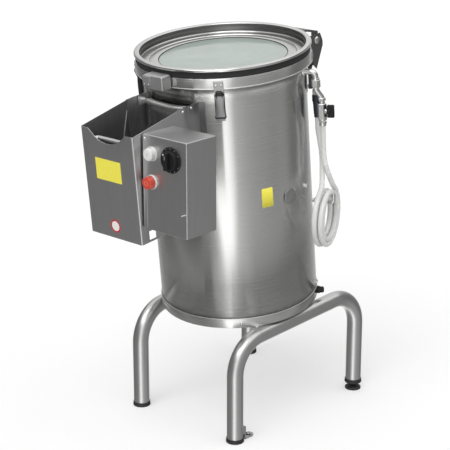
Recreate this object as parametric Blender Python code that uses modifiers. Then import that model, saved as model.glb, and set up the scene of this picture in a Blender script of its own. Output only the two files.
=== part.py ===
"""Onion peeling machine: an upright steel drum that leans forward on two bent-tube leg frames.

A belt-driven abrasive disc turns in the drum under a hinged glass lid. A hinged gate lets the
onions out into a chute, a control box hangs beside it, and a hose brings water to a ball valve.
Metres, +Z up. The machine faces -Y, and its feet stand on Z = 0.
"""
import math

import bmesh
import bpy
from mathutils import Vector

# General sizes
GAP = 0.0003
OVERRUN = 0.006
MERGE = 0.00001
SHEET = 0.0015
DRUM_STEPS = 60
ROUND_STEPS = 24
SMALL_STEPS = 12

# Drum: it leans towards -Y about the centre of its base
DRUM_X = -0.0170
DRUM_Y = 0.0884
DRUM_BASE_Z = 0.2711
DRUM_LEAN = math.radians(5.78)
DRUM_RADIUS = 0.185
DRUM_HEIGHT = 0.573
BAND_HEIGHT = 0.0228
BAND_WALL = 0.0015
BASE_PLATE = 0.003

# Leg frames: bent tubes that run front to back, a little wider apart at the back
LEG_RADIUS = 0.019
LEG_MIDDLE_X = 0.002
LEG_FRONT_X = 0.151
LEG_REAR_X = 0.172
LEG_FRONT_Y = -0.1895
LEG_REAR_Y = 0.230
LEG_BEND = 0.080
LEG_ARC_STEPS = 8
RUN_RISE = math.radians(3.45)
RUN_SEAT_Y = -0.110
CAP_HEIGHT = 0.014
CAP_WALL = 0.0016
CAP_FLOOR = 0.003
LEVEL_DISC_RADIUS = 0.0195
LEVEL_DISC = 0.0085
LEVEL_REACH = 0.009
LEVEL_STUD_RADIUS = 0.004
LEVEL_STUD_LENGTH = 0.050
LUG_LENGTH = 0.035
LUG_WIDTH = 0.022
LUG_THICKNESS = 0.004
LUG_HOLE_RADIUS = 0.004
SADDLE_FRONT = 0.030
SADDLE_REAR = 0.070
SADDLE_INNER = 0.146
SADDLE_OUTER = 0.166

# Collar, gasket and lid, by their height along the drum
COLLAR_RADIUS = 0.1988
COLLAR_TOP = 0.597
COLLAR_INNER = 0.191
COLLAR_FOOT_INNER = 0.180
COLLAR_WALL = 0.002
GASKET_RADIUS = 0.1968
GASKET_INNER = 0.1888
GASKET_TOP = 0.611
RIM_RADIUS = 0.200
RIM_SIDE_TOP = 0.6145
RIM_CROWN = 0.6175
RIM_CROWN_OUTER = 0.1975
RIM_CROWN_INNER = 0.1900
DISH_INNER = 0.187
DISH_RIM_TOP = 0.6155
FLANGE_TOP = 0.596
FLANGE_STEP_RADIUS = 0.165
FLANGE_STEP = 0.0018
FLANGE_BOTTOM = 0.5925
GLASS_OPENING = 0.146
GLASS_RADIUS = 0.160
GLASS_THICKNESS = 0.005

# Lid hinge at the back of the collar
HINGE_Y = 0.237
HINGE_H = 0.579
HINGE_HALF_WIDTH = 0.080
CHEEK_THICKNESS = 0.002
CHEEK_BACK = 0.259
CHEEK_TOP = 0.5935
CHEEK_TOP_BACK = 0.251
CHEEK_BACK_TOP = 0.5735
CHEEK_BACK_LOW = 0.563
CHEEK_HEEL_Y = 0.246
CHEEK_HEEL_H = 0.537
CHEEK_TOE_Y = 0.233
CHEEK_TOE_H = 0.511
CHEEK_FRONT_Y = 0.217
CHEEK_FRONT_LOW = 0.5265
CHEEK_FRONT_TOP_Y = 0.2135
CHEEK_FRONT_H = 0.561
CHEEK_ARM_LOW = 0.5745
WEB_LOW = 0.531
HINGE_PIN_RADIUS = 0.005
HINGE_HEAD_RADIUS = 0.009
HINGE_HEAD = 0.004
LEAF_HALF_WIDTH = 0.0765
LEAF_REAR = 0.247
LEAF_BEND_Y = 0.206
LEAF_DROP = 0.0125
LEAF_FRONT = 0.182
LEAF_PLATE = 0.005
LEAF_EAR = 0.003
LEAF_EAR_FRONT = 0.226
LEAF_EAR_LOW = 0.571

# Safety interlock on the front of the collar
INTERLOCK_LEFT = -0.027
INTERLOCK_RIGHT = 0.028
INTERLOCK_FRONT = -0.228
INTERLOCK_LOW = 0.5715
INTERLOCK_TOP = 0.6045
INTERLOCK_BEVEL = 0.0035
INTERLOCK_PLATE = 0.003
INTERLOCK_PLATE_WIDTH = 0.021
INTERLOCK_PLATE_LOW = 0.580

# Toggle latches round the collar seam
LATCH_AZIMUTHS = [math.radians(turn) for turn in (-51.3, 38.7, 128.7, -141.3)]
LATCH_HALF_WIDTH = 0.0108
LATCH_PLATE = 0.0012
LATCH_PLATE_LOW = 0.4985
LATCH_PLATE_TOP = 0.5605
LATCH_PIVOT_OUT = 0.0075
LATCH_PIVOT_H = 0.5095
LATCH_BASE_HALF_WIDTH = 0.0095
LATCH_KNUCKLE_RADIUS = 0.0026
LATCH_KNUCKLE_HALF = 0.006
LATCH_PIN_RADIUS = 0.0012
LEVER_TOP = 0.5605
LEVER_TAIL = 0.003
LEVER_FACE_OUT = 0.012
LEVER_WALL = 0.0015
LEVER_DEPTH = 0.0085
STRIKE_LOW = 0.567
STRIKE_TOP = 0.592
STRIKE_THICKNESS = 0.002

# Outlet, gate and chute on the front of the drum
OPENING_HALF_WIDTH = 0.062
OPENING_LOW = 0.356
OPENING_TOP = 0.5355
GATE_AXIS_Y = -0.196
GATE_AXIS_H = 0.536
GATE_HALF_WIDTH = 0.065
GATE_LOW = 0.348
GATE_INNER = 0.189
GATE_OUTER = 0.1915
GATE_CORNER = 0.012
RAIL_LOW = 0.519
RAIL_TOP = 0.532
RAIL_OUTER = 0.200
RAIL_HALF_WIDTH = 0.0744
RAIL_EAR = 0.0015
RAIL_EAR_TOP = 0.5415
RAIL_EAR_FRONT = -0.206
RAIL_EAR_REAR = -0.176
RAIL_PIN_RADIUS = 0.003
RAIL_PIN_LENGTH = 0.0025
CHUTE_FRONT = -0.377
CHUTE_HALF_WIDTH = 0.078
CHUTE_SHEET = 0.0012
CHUTE_LOW = 0.280
CHUTE_FRONT_TOP = 0.522
CHUTE_SIDE_TOP = 0.5425
CHUTE_LEVEL_Y = -0.225
CHUTE_REAR = -0.212
CHUTE_CORNER = 0.004
HAND_HALF_WIDTH = 0.058
HAND_DIP = 0.027
SLOT_FRONT = -0.353
SLOT_REAR = -0.333
SLOT_LOW = 0.285
SLOT_TOP = 0.305
GRIP_RADIUS = 0.006
GRIP_Y = -0.362
GRIP_H = 0.497
GRIP_HALF_LENGTH = 0.038
GRIP_END_X = 0.045
OUTLET_CHEEK_FRONT = -0.240
OUTLET_CHEEK_LOW = 0.300
OUTLET_FLANGE_LOW = 0.286
OUTLET_FLANGE_AZIMUTH = math.radians(63.9)
OUTLET_FLANGE_WIDTH = 0.0145
SILL_DRUM_H = 0.352
SILL_FRONT_H = 0.315

# Control box, upright beside the chute
BOX_LEFT = 0.0815
BOX_RIGHT = 0.206
BOX_FRONT = -0.400
BOX_DEPTH = 0.090
BOX_LOW = 0.552
BOX_TOP = 0.758
BOX_CORNER = 0.0025
ARM_X = 0.0850
ARM_LOW = 0.600
ARM_TOP = 0.720
ARM_DRUM_LOW_H = 0.352
ARM_DRUM_TOP_H = 0.466
BACK_INSET = 0.002
BUTTON_RADIUS = 0.0134
BUTTON_HOLE = 0.0138
BUTTON_STAND = 0.015
BUTTON_SINK = 0.004
BEZEL_RADIUS = 0.0156
BEZEL_HEIGHT = 0.0045
START_X = 0.108
START_Z = 0.7195
STOP_X = 0.107
STOP_Z = 0.6585
STOP_EXTRA = 0.003
DIAL_X = 0.162
DIAL_Z = 0.715
DIAL_RADIUS = 0.0277
DIAL_THICKNESS = 0.0025
KNOB_RADIUS = 0.0225
KNOB_TOP_RADIUS = 0.0205
KNOB_SKIRT = 0.007
KNOB_GRIP_HEIGHT = 0.010
KNOB_GRIP_HALF_LENGTH = 0.019
KNOB_GRIP_HALF_WIDTH = 0.0048

# Chamber and drive, inside the drum
LINER_GAP = 0.0055
FLOOR_H = 0.322
FLOOR_THICKNESS = 0.003
DISC_RADIUS = 0.170
DISC_CLEARANCE = 0.012
DISC_THICKNESS = 0.010
DISC_HUB_RADIUS = 0.028
DISC_HUB_CLEARANCE = 0.0015
DISC_SOCKET = 0.005
RIDGE_COUNT = 3
RIDGE_INNER = 0.020
RIDGE_OUTER = 0.162
RIDGE_HALF_WIDTH = 0.009
RIDGE_HEIGHT = 0.009
RIDGE_BEVEL = 0.005
SPINDLE_RADIUS = 0.0125
SPINDLE_LOW = 0.172
HOUSING_FLANGE_RADIUS = 0.055
HOUSING_FLANGE = 0.008
HOUSING_RADIUS = 0.034
HOUSING_LOW = 0.204
PULLEY_H = 0.178
PULLEY_WIDTH = 0.016
GROOVE_WIDTH = 0.012
DRIVEN_RADIUS = 0.075
DRIVEN_GROOVE = 0.066
MOTOR_PULLEY_RADIUS = 0.024
MOTOR_GROOVE = 0.0165
MOTOR_OFFSET = 0.115
MOTOR_RADIUS = 0.055
MOTOR_HEIGHT = 0.150
MOTOR_FOOT_RADIUS = 0.063
MOTOR_FOOT = 0.006
MOTOR_SHAFT_RADIUS = 0.009
MOTOR_BORE_DEPTH = 0.018
BELT_THICKNESS = 0.005
BELT_WIDTH = 0.010
BELT_ARC_STEPS = 20
DRAIN_X = -0.095
DRAIN_Y = 0.085
DRAIN_RADIUS = 0.021
DRAIN_WALL = 0.0015
DRAIN_DROP = 0.032

# Water inlet, in the upright plane through the drum axis at this azimuth
INLET_AZIMUTH = math.radians(24)
PIPE_RADIUS = 0.0065
INLET_H = 0.559
INLET_OUT = 0.2125
INLET_BEND = 0.011
UNION_LOW = 0.524
UNION_TOP = 0.541
UNION_RADIUS = 0.0105
OFFSET_TOP = 0.516
OFFSET_LOW = 0.500
VALVE_OUT = 0.2245
VALVE_TOP = 0.4865
VALVE_LOW = 0.4470
VALVE_HEX = 0.0105
VALVE_FLANGE_RADIUS = 0.0095
VALVE_FLANGE = 0.002
STEM_RISE = 0.021
STEM_RADIUS = 0.004
STEM_LENGTH = 0.0118
HANDLE_HUB_RADIUS = 0.0065
HANDLE_LENGTH = 0.029
HANDLE_WIDTH = 0.009
HANDLE_DEPTH = 0.016
HANDLE_BEVEL = 0.002
CLAMP_WALL = 0.0014
CLAMP_WIDTH = 0.009
CLAMP_DROP = 0.004
CLAMP_SCREW_RADIUS = 0.003
CLAMP_SCREW_LENGTH = 0.013

# Water hose: a drop from the valve, a hung coil, and a tail up to the parked connector
HOSE_RADIUS = 0.006
HOSE_STEP = 0.0128
COIL_X = 0.214
COIL_Y = 0.055
COIL_Z = 0.498
COIL_AZIMUTH = math.radians(20)
COIL_RADIUS = 0.070
COIL_TURNS_A_LAYER = 2
COIL_TURN_POINTS = 24
COIL_START = math.radians(52)
COIL_END = math.radians(124)
HOSE_LEAD = 0.012
DROP_STRAIGHT = 0.030
DROP_ROUTE = [(0.2048, 0.0511, 0.6630), (0.2068, 0.0529, 0.6330), (0.2121, 0.0575, 0.6060)]
TAIL_ROUTE = [(0.2060, 0.0478, 0.5810), (0.1965, 0.0593, 0.5965), (0.1901, 0.0666, 0.6180),
              (0.1871, 0.0675, 0.6430), (0.1817, 0.0661, 0.6730)]
PARK_OUT = 0.206
PARK_SIDE = 0.025
CONNECTOR_LOW = 0.446
CONNECTOR_TAPER_TOP = 0.482
CONNECTOR_TOP = 0.498
CONNECTOR_NECK = 0.0075
CONNECTOR_RADIUS = 0.0100
CONNECTOR_BORE = 0.0065
CONNECTOR_BORE_DEPTH = 0.012
PARK_PLUG_RADIUS = 0.0055
PARK_ARM_H = 0.519
HOOK_RADIUS = 0.004
HOOK_BEND = 0.006
HOOK_RISE = 0.020

# Small pieces on the side of the drum
PLUG_AZIMUTH = math.radians(-3.5)
PLUG_H = 0.294
PLUG_RADIUS = 0.0185
PLUG_THICKNESS = 0.0025
GLAND_AZIMUTH = math.radians(33)
GLAND_NUT_RADIUS = 0.010
GLAND_NUT = 0.006
GLAND_RADIUS = 0.0075
GLAND_LENGTH = 0.016
GLAND_BORE = 0.004
GLAND_BORE_DEPTH = 0.010

for old in list(bpy.data.objects):
    bpy.data.objects.remove(old, do_unlink=True)

PARTS = bpy.data.collections.new("onion_peeling_machine")
CUTTERS = bpy.data.collections.new("cutters")
bpy.context.scene.collection.children.link(PARTS)
bpy.context.scene.collection.children.link(CUTTERS)


# Helpers

def finish(name, colour, roughness, metallic):
    """A Principled material of its own for one piece."""
    material = bpy.data.materials.new(name)
    material.use_nodes = True
    shader = material.node_tree.nodes["Principled BSDF"]
    shader.inputs["Base Color"].default_value = (*colour, 1.0)
    shader.inputs["Roughness"].default_value = roughness
    shader.inputs["Metallic"].default_value = metallic
    return material


def steel(name):
    return finish(name, (0.62, 0.62, 0.61), 0.32, 1.0)


def black(name):
    return finish(name, (0.02, 0.02, 0.022), 0.55, 0.0)


def clear_hose(name):
    return finish(name, (0.82, 0.84, 0.82), 0.25, 0.0)


def add(name, data, material=None, parent=None, place=(0, 0, 0), turn=(0, 0, 0)):
    """One named object; it is a part if it has a material, and a cutter if it has none."""
    piece = bpy.data.objects.new(name, data)
    (PARTS if material else CUTTERS).objects.link(piece)
    piece.parent = parent
    piece.location = place
    piece.rotation_euler = turn
    if material:
        data.materials.append(material)
    else:
        piece.hide_render = True
        piece.display_type = "WIRE"
    return piece


def axis_empty(name, parent=None, place=(0, 0, 0), turn=(0, 0, 0)):
    """An empty that carries pieces, on a joint's axis where the pieces move."""
    empty = bpy.data.objects.new(name, None)
    PARTS.objects.link(empty)
    empty.parent = parent
    empty.location = place
    empty.rotation_euler = turn
    return empty


def mesh_from(name, form):
    mesh = bpy.data.meshes.new(name)
    form.to_mesh(mesh)
    form.free()
    return mesh


def turned(name, profile, material=None, steps=ROUND_STEPS, closed=False, **where):
    """A profile of (radius, height) turned about local Z; its outer side runs top to bottom."""
    form = bmesh.new()
    corners = [form.verts.new((radius, 0, height)) for radius, height in profile]
    for first, second in zip(corners, corners[1:]):
        form.edges.new((first, second))
    if closed:
        form.edges.new((corners[-1], corners[0]))
    piece = add(name, mesh_from(name, form), material, **where)
    screw = piece.modifiers.new("Turn", "SCREW")
    screw.steps = steps
    screw.render_steps = steps
    screw.use_merge_vertices = True
    screw.merge_threshold = MERGE
    screw.use_smooth_shade = steps > SMALL_STEPS
    return piece


def ring(name, inner, outer, low, high, material=None, steps=DRUM_STEPS, **where):
    profile = [(outer, high), (outer, low), (inner, low), (inner, high)]
    return turned(name, profile, material, steps, closed=True, **where)


def rod(name, radius, low, high, material=None, steps=ROUND_STEPS, **where):
    return turned(name, [(0, high), (radius, high), (radius, low), (0, low)], material, steps, **where)


def block(name, low, high, material=None, **where):
    """A box between two corners."""
    low, high = Vector(low), Vector(high)
    form = bmesh.new()
    bmesh.ops.create_cube(form, size=1)
    for corner in form.verts:
        corner.co = (low + high) / 2 + Vector(a * b for a, b in zip(corner.co, high - low))
    return add(name, mesh_from(name, form), material, **where)


def curve_data(name, runs, flat):
    curve = bpy.data.curves.new(name, "CURVE")
    curve.dimensions = "2D" if flat else "3D"
    for run in runs:
        spline = curve.splines.new("POLY")
        spline.points.add(len(run) - 1)
        spline.use_cyclic_u = flat
        for point, place in zip(spline.points, run):
            point.co = (*place, 0, 1) if flat else (*place, 1)
    return curve


def as_mesh(piece):
    """The same piece as a mesh whose caps are welded on, so that it can be cut and joined."""
    graph = bpy.context.evaluated_depsgraph_get()
    mesh = bpy.data.meshes.new_from_object(piece.evaluated_get(graph))
    form = bmesh.new()
    form.from_mesh(mesh)
    bmesh.ops.remove_doubles(form, verts=form.verts, dist=MERGE)
    form.to_mesh(mesh)
    form.free()
    name = piece.name
    material = piece.data.materials[0] if piece.data.materials else None
    mesh.materials.clear()
    where = {"parent": piece.parent, "place": piece.location.copy(), "turn": piece.rotation_euler.copy()}
    bpy.data.objects.remove(piece, do_unlink=True)
    mesh.name = name
    return add(name, mesh, material, **where)


def tube(name, points, radius, material=None, resolution=3, **where):
    curve = curve_data(name, [points], False)
    curve.bevel_depth = radius
    curve.bevel_resolution = resolution
    curve.use_fill_caps = True
    return add(name, curve, material, **where)


def plate(name, outlines, thickness, material=None, **where):
    """A flat plate in local XY, with its middle at local Z = 0; later outlines are its holes."""
    curve = curve_data(name, outlines, True)
    curve.fill_mode = "BOTH"
    curve.extrude = thickness / 2
    return as_mesh(add(name, curve, material, **where))


def boolean(piece, other, operation):
    change = piece.modifiers.new(operation.title(), "BOOLEAN")
    change.operation = operation
    change.solver = "EXACT"
    change.object = other
    return piece


def cut(piece, *cutters):
    for cutter in cutters:
        boolean(piece, cutter, "DIFFERENCE")
    return piece


def join(piece, *others):
    for other in others:
        boolean(piece, other, "UNION")
    return piece


def round_edges(piece, width, segments=2):
    bevel = piece.modifiers.new("Round", "BEVEL")
    bevel.width = width
    bevel.segments = segments
    bevel.limit_method = "ANGLE"
    return piece


def arc(centre, radius, start, end, steps):
    """Points along an arc in a plane, both ends included."""
    turns = [start + (end - start) * step / steps for step in range(steps + 1)]
    return [(centre[0] + radius * math.cos(turn), centre[1] + radius * math.sin(turn)) for turn in turns]


def chord(radius, offset):
    """How far forward a circle of this radius lies at a sideways offset."""
    return math.sqrt(radius ** 2 - offset ** 2)


def smooth(route, pace):
    """Points along a smooth curve through a route, whose first and last runs stay straight."""
    fine = []
    for before, start, end, after in zip(route, route[1:], route[2:], route[3:]):
        for step in range(SMALL_STEPS):
            share = step / SMALL_STEPS
            pull = (end - before) * share + (2 * before - 5 * start + 4 * end - after) * share ** 2
            pull += (3 * start - before - 3 * end + after) * share ** 3
            fine.append(start + pull / 2)
    fine.append(route[-2])
    lengths = [0.0]
    for first, second in zip(fine, fine[1:]):
        lengths.append(lengths[-1] + (second - first).length)
    count = max(2, round(lengths[-1] / pace))
    points = []
    for index in range(count + 1):
        wanted = lengths[-1] * index / count
        place = max(i for i, length in enumerate(lengths[:-1]) if length <= wanted)
        share = (wanted - lengths[place]) / (lengths[place + 1] - lengths[place])
        points.append(fine[place].lerp(fine[place + 1], share))
    return [route[0]] + points + [route[-1]]


# Carriers: the machine stands about the middle of the floor that it covers

UPRIGHT = (math.pi / 2, 0, math.pi / 2)
ALONG_X = (0, math.pi / 2, 0)
TO_FRONT = (math.pi / 2, 0, 0)
COS_LEAN = math.cos(DRUM_LEAN)
SIN_LEAN = math.sin(DRUM_LEAN)

machine = axis_empty("machine", None, (DRUM_X, DRUM_Y, 0))
drum = axis_empty("drum_axis", machine, (0, 0, DRUM_BASE_Z), (DRUM_LEAN, 0, 0))
inlet = axis_empty("inlet_plane", drum, turn=(0, 0, INLET_AZIMUTH))
SHELL_INNER = DRUM_RADIUS - SHEET
LINER_INNER = SHELL_INNER - LINER_GAP - SHEET
FLOOR_TOP = FLOOR_H + FLOOR_THICKNESS


def from_drum(x, y, h):
    """A place given in the leaning drum's frame, in the machine's upright frame."""
    return Vector((x, y * COS_LEAN - h * SIN_LEAN, DRUM_BASE_Z + y * SIN_LEAN + h * COS_LEAN))


def from_inlet(out, side, h):
    x = out * math.cos(INLET_AZIMUTH) - side * math.sin(INLET_AZIMUTH)
    y = out * math.sin(INLET_AZIMUTH) + side * math.cos(INLET_AZIMUTH)
    return from_drum(x, y, h)


def run_height(y):
    """Height of a leg frame's top run, which just clears the front of the drum's base."""
    seat = DRUM_BASE_Z + RUN_SEAT_Y * math.tan(DRUM_LEAN) - GAP - LEG_RADIUS / math.cos(RUN_RISE)
    return seat + (y - RUN_SEAT_Y) * math.tan(RUN_RISE)


drum_trim = rod("drum_trim", DRUM_RADIUS + GAP, -OVERRUN, RIM_CROWN, steps=DRUM_STEPS, parent=drum)


# Leg frames and feet

LEG_SPAN = math.hypot(LEG_REAR_X - LEG_FRONT_X, LEG_REAR_Y - LEG_FRONT_Y)
LEG_TOE = math.atan2(LEG_REAR_X - LEG_FRONT_X, LEG_REAR_Y - LEG_FRONT_Y)
LEG_FOOT = CAP_FLOOR + GAP
LEVEL_SEAT = LEVEL_DISC + LEVEL_REACH


def leg_points(rear_foot):
    """Up from the front foot, over the rising run and down to the rear foot, in local YZ."""
    start = run_height(LEG_FRONT_Y)
    slope = math.tan(RUN_RISE)
    inset = LEG_BEND * (1 - math.sin(RUN_RISE))
    drop = LEG_BEND * math.cos(RUN_RISE)
    last = LEG_SPAN - LEG_BEND - LEG_BEND * math.sin(RUN_RISE)
    turn = math.pi / 2 + RUN_RISE
    front = arc((LEG_BEND, start + slope * inset - drop), LEG_BEND, math.pi, turn, LEG_ARC_STEPS)
    rear = arc((LEG_SPAN - LEG_BEND, start + slope * last - drop), LEG_BEND, turn, 0, LEG_ARC_STEPS)
    return [(0, y, z) for y, z in [(0, LEG_FOOT)] + front + rear + [(LEG_SPAN, rear_foot)]]


def floor_lug(carrier):
    """A welded lug that reaches back along the floor from a front foot."""
    half = LUG_WIDTH / 2
    back = LEG_RADIUS + CAP_WALL + 2 * GAP
    face = back + LUG_THICKNESS
    weld = block("lug_weld", (-half, LEG_RADIUS / 2, CAP_HEIGHT + GAP),
                 (half, face, CAP_HEIGHT + LEG_RADIUS), parent=carrier)
    riser = block("lug_riser", (-half, back, 0), (half, face, CAP_HEIGHT + LEG_RADIUS), parent=carrier)
    tongue = block("lug_tongue", (-half, back, 0), (half, back + LUG_LENGTH, LUG_THICKNESS), parent=carrier)
    hole = rod("lug_hole", LUG_HOLE_RADIUS, -OVERRUN, LUG_THICKNESS + OVERRUN, parent=carrier,
               place=(0, back + LUG_LENGTH - half, 0))
    return weld, riser, tongue, hole


def foot_cap(name, carrier, y, seat, stud_hole=0):
    outer = LEG_RADIUS + GAP + CAP_WALL
    inner = LEG_RADIUS + GAP
    profile = [(stud_hole, CAP_FLOOR), (inner, CAP_FLOOR), (inner, CAP_HEIGHT), (outer, CAP_HEIGHT),
               (outer, 0), (stud_hole, 0)]
    turned(name, profile, black(name), closed=stud_hole > 0, parent=carrier, place=(0, y, seat))


def leg_frames():
    for side, sign in (("left", -1), ("right", 1)):
        corner = (LEG_MIDDLE_X + sign * LEG_FRONT_X, LEG_FRONT_Y, 0)
        carrier = axis_empty("leg_axis_" + side, machine, corner, (0, 0, -sign * LEG_TOE))
        levelled = sign > 0
        rear_seat = LEVEL_SEAT if levelled else 0
        name = "leg_frame_" + side
        frame = tube(name, leg_points(rear_seat + LEG_FOOT), LEG_RADIUS, steel(name), 5, parent=carrier)
        foot_cap("foot_cap_front_" + side, carrier, 0, 0)
        stud_hole = LEVEL_STUD_RADIUS + GAP
        foot_cap("foot_cap_rear_" + side, carrier, LEG_SPAN, rear_seat, stud_hole if levelled else 0)
        if not levelled:
            continue
        frame = as_mesh(frame)
        weld, riser, tongue, hole = floor_lug(carrier)
        bore = rod("stud_bore", stud_hole, 0, LEVEL_STUD_LENGTH + OVERRUN, parent=carrier,
                   place=(0, LEG_SPAN, 0))
        cut(join(frame, weld, riser, tongue), hole, bore)
        level_axis = axis_empty("levelling_foot_axis", carrier, (0, LEG_SPAN, 0))
        profile = [(0, LEVEL_STUD_LENGTH), (LEVEL_STUD_RADIUS, LEVEL_STUD_LENGTH),
                   (LEVEL_STUD_RADIUS, LEVEL_DISC), (LEVEL_DISC_RADIUS / 2, LEVEL_DISC),
                   (LEVEL_DISC_RADIUS, LEVEL_DISC / 2), (LEVEL_DISC_RADIUS, 0), (0, 0)]
        turned("levelling_foot", profile, black("levelling_foot"), parent=level_axis)


# Drum casing

def base_plate():
    """The plate that closes the drum's base, with a pad over each leg frame's run."""
    plate_piece = rod("base_plate", SHELL_INNER - GAP, 0, BASE_PLATE, steel("base_plate"), DRUM_STEPS,
                      parent=drum)
    clear = DRUM_BASE_Z + SADDLE_FRONT * math.tan(DRUM_LEAN) - run_height(SADDLE_FRONT)
    height = clear - LEG_RADIUS / math.cos(RUN_RISE) - 2 * GAP
    for side, sign in (("left", -1), ("right", 1)):
        inner, outer = sorted((sign * SADDLE_INNER, sign * SADDLE_OUTER))
        join(plate_piece, block("pad_" + side, (inner, SADDLE_FRONT, -height),
                                (outer, SADDLE_REAR, BASE_PLATE / 2), parent=drum))
    cut(plate_piece, rod("drain_hole", DRAIN_RADIUS + GAP, -OVERRUN, BASE_PLATE + OVERRUN, parent=drum,
                         place=(DRAIN_X, DRAIN_Y, 0)))


def casing():
    ring("bottom_band", DRUM_RADIUS + GAP, DRUM_RADIUS + GAP + BAND_WALL, 0, BAND_HEIGHT,
         steel("bottom_band"), parent=drum)
    back = OVERRUN - chord(LINER_INNER, OPENING_HALF_WIDTH)
    opening = block("opening_cutter", (-OPENING_HALF_WIDTH, -DRUM_RADIUS - OVERRUN, OPENING_LOW),
                    (OPENING_HALF_WIDTH, back, OPENING_TOP), parent=drum)
    bore = rod("inlet_bore", PIPE_RADIUS - SHEET, LINER_INNER - OVERRUN, DRUM_RADIUS + OVERRUN,
               steps=SMALL_STEPS, parent=inlet, place=(0, 0, INLET_H), turn=ALONG_X)
    cut(ring("outer_shell", SHELL_INNER, DRUM_RADIUS, 0, DRUM_HEIGHT, steel("outer_shell"), parent=drum),
        opening, bore)
    liner_finish = finish("chamber_liner", (0.30, 0.31, 0.30), 0.8, 0.0)
    cut(ring("chamber_liner", LINER_INNER, LINER_INNER + SHEET, FLOOR_TOP + GAP, DRUM_HEIGHT, liner_finish,
             parent=drum), opening, bore)


def chamber_floor():
    piece = ring("chamber_floor", SPINDLE_RADIUS + GAP, SHELL_INNER - GAP, FLOOR_H, FLOOR_TOP,
                 steel("chamber_floor"), parent=drum)
    cut(piece, rod("floor_drain", DRAIN_RADIUS - DRAIN_WALL, FLOOR_H - OVERRUN, FLOOR_TOP + OVERRUN,
                   parent=drum, place=(DRAIN_X, DRAIN_Y, 0)))
    ring("drain_pipe", DRAIN_RADIUS - DRAIN_WALL, DRAIN_RADIUS, -DRAIN_DROP, FLOOR_H - GAP,
         finish("drain_pipe", (0.35, 0.36, 0.37), 0.5, 0.0), ROUND_STEPS, parent=drum,
         place=(DRAIN_X, DRAIN_Y, 0))


# Drive: disc, spindle and pulleys on one axis, and a belt from the motor

drive = axis_empty("drive_axis", drum)
rotor = axis_empty("motor_axis", drum, (MOTOR_OFFSET, 0, 0))
BORE = SPINDLE_RADIUS + GAP
DISC_H = FLOOR_TOP + DISC_CLEARANCE
DISC_TOP = DISC_H + DISC_THICKNESS


def abrasive_disc():
    """The disc, its hub and the raised ridges that toss the onions."""
    hub_low = FLOOR_TOP + DISC_HUB_CLEARANCE
    socket = DISC_H + DISC_SOCKET
    profile = [(0, DISC_TOP), (DISC_RADIUS, DISC_TOP), (DISC_RADIUS, DISC_H), (DISC_HUB_RADIUS, DISC_H),
               (DISC_HUB_RADIUS, hub_low), (BORE, hub_low), (BORE, socket), (0, socket)]
    disc = turned("abrasive_disc", profile, finish("abrasive_disc", (0.12, 0.12, 0.12), 0.95, 0.0),
                  DRUM_STEPS, parent=drive)
    for index in range(RIDGE_COUNT):
        ridge = block("ridge_%d" % index, (RIDGE_INNER, -RIDGE_HALF_WIDTH, DISC_H + DISC_THICKNESS / 2),
                      (RIDGE_OUTER, RIDGE_HALF_WIDTH, DISC_TOP + RIDGE_HEIGHT), parent=drive,
                      turn=(0, 0, math.tau * index / RIDGE_COUNT))
        join(disc, round_edges(ridge, RIDGE_BEVEL))


def grooved(radius, groove):
    """The outer side of a pulley, top to bottom."""
    lip = (PULLEY_WIDTH - GROOVE_WIDTH) / 2
    top = PULLEY_H + PULLEY_WIDTH
    return [(radius, top), (radius, top - lip), (groove, top - lip), (groove, PULLEY_H + lip),
            (radius, PULLEY_H + lip), (radius, PULLEY_H)]


def spindle_and_pulleys():
    rod("spindle", SPINDLE_RADIUS, SPINDLE_LOW, DISC_H + DISC_SOCKET - GAP, steel("spindle"), parent=drive)
    top = FLOOR_H - GAP
    housing = [(HOUSING_FLANGE_RADIUS, top), (HOUSING_FLANGE_RADIUS, top - HOUSING_FLANGE),
               (HOUSING_RADIUS, top - HOUSING_FLANGE), (HOUSING_RADIUS, HOUSING_LOW), (BORE, HOUSING_LOW),
               (BORE, top)]
    turned("bearing_housing", housing, finish("bearing_housing", (0.25, 0.26, 0.27), 0.6, 0.6), closed=True,
           parent=drum)
    driven = grooved(DRIVEN_RADIUS, DRIVEN_GROOVE)
    driven += [(BORE, PULLEY_H), (BORE, PULLEY_H + PULLEY_WIDTH)]
    turned("driven_pulley", driven, finish("driven_pulley", (0.45, 0.46, 0.47), 0.45, 0.8), closed=True,
           parent=drive)
    shaft_low = BASE_PLATE + MOTOR_HEIGHT - MOTOR_BORE_DEPTH + 2 * GAP
    small = [(0, PULLEY_H + PULLEY_WIDTH)] + grooved(MOTOR_PULLEY_RADIUS, MOTOR_GROOVE)
    small += [(MOTOR_SHAFT_RADIUS, PULLEY_H), (MOTOR_SHAFT_RADIUS, shaft_low), (0, shaft_low)]
    turned("motor_pulley", small, finish("motor_pulley", (0.45, 0.46, 0.47), 0.45, 0.8), parent=rotor)


def motor():
    low = BASE_PLATE + GAP
    top = BASE_PLATE + MOTOR_HEIGHT
    bore = MOTOR_SHAFT_RADIUS + GAP
    profile = [(0, top - MOTOR_BORE_DEPTH), (bore, top - MOTOR_BORE_DEPTH), (bore, top)]
    profile += [(MOTOR_RADIUS, top), (MOTOR_RADIUS, low + MOTOR_FOOT)]
    profile += [(MOTOR_FOOT_RADIUS, low + MOTOR_FOOT), (MOTOR_FOOT_RADIUS, low), (0, low)]
    turned("motor", profile, finish("motor", (0.10, 0.16, 0.24), 0.5, 0.2), parent=drum,
           place=(MOTOR_OFFSET, 0, 0))


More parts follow.
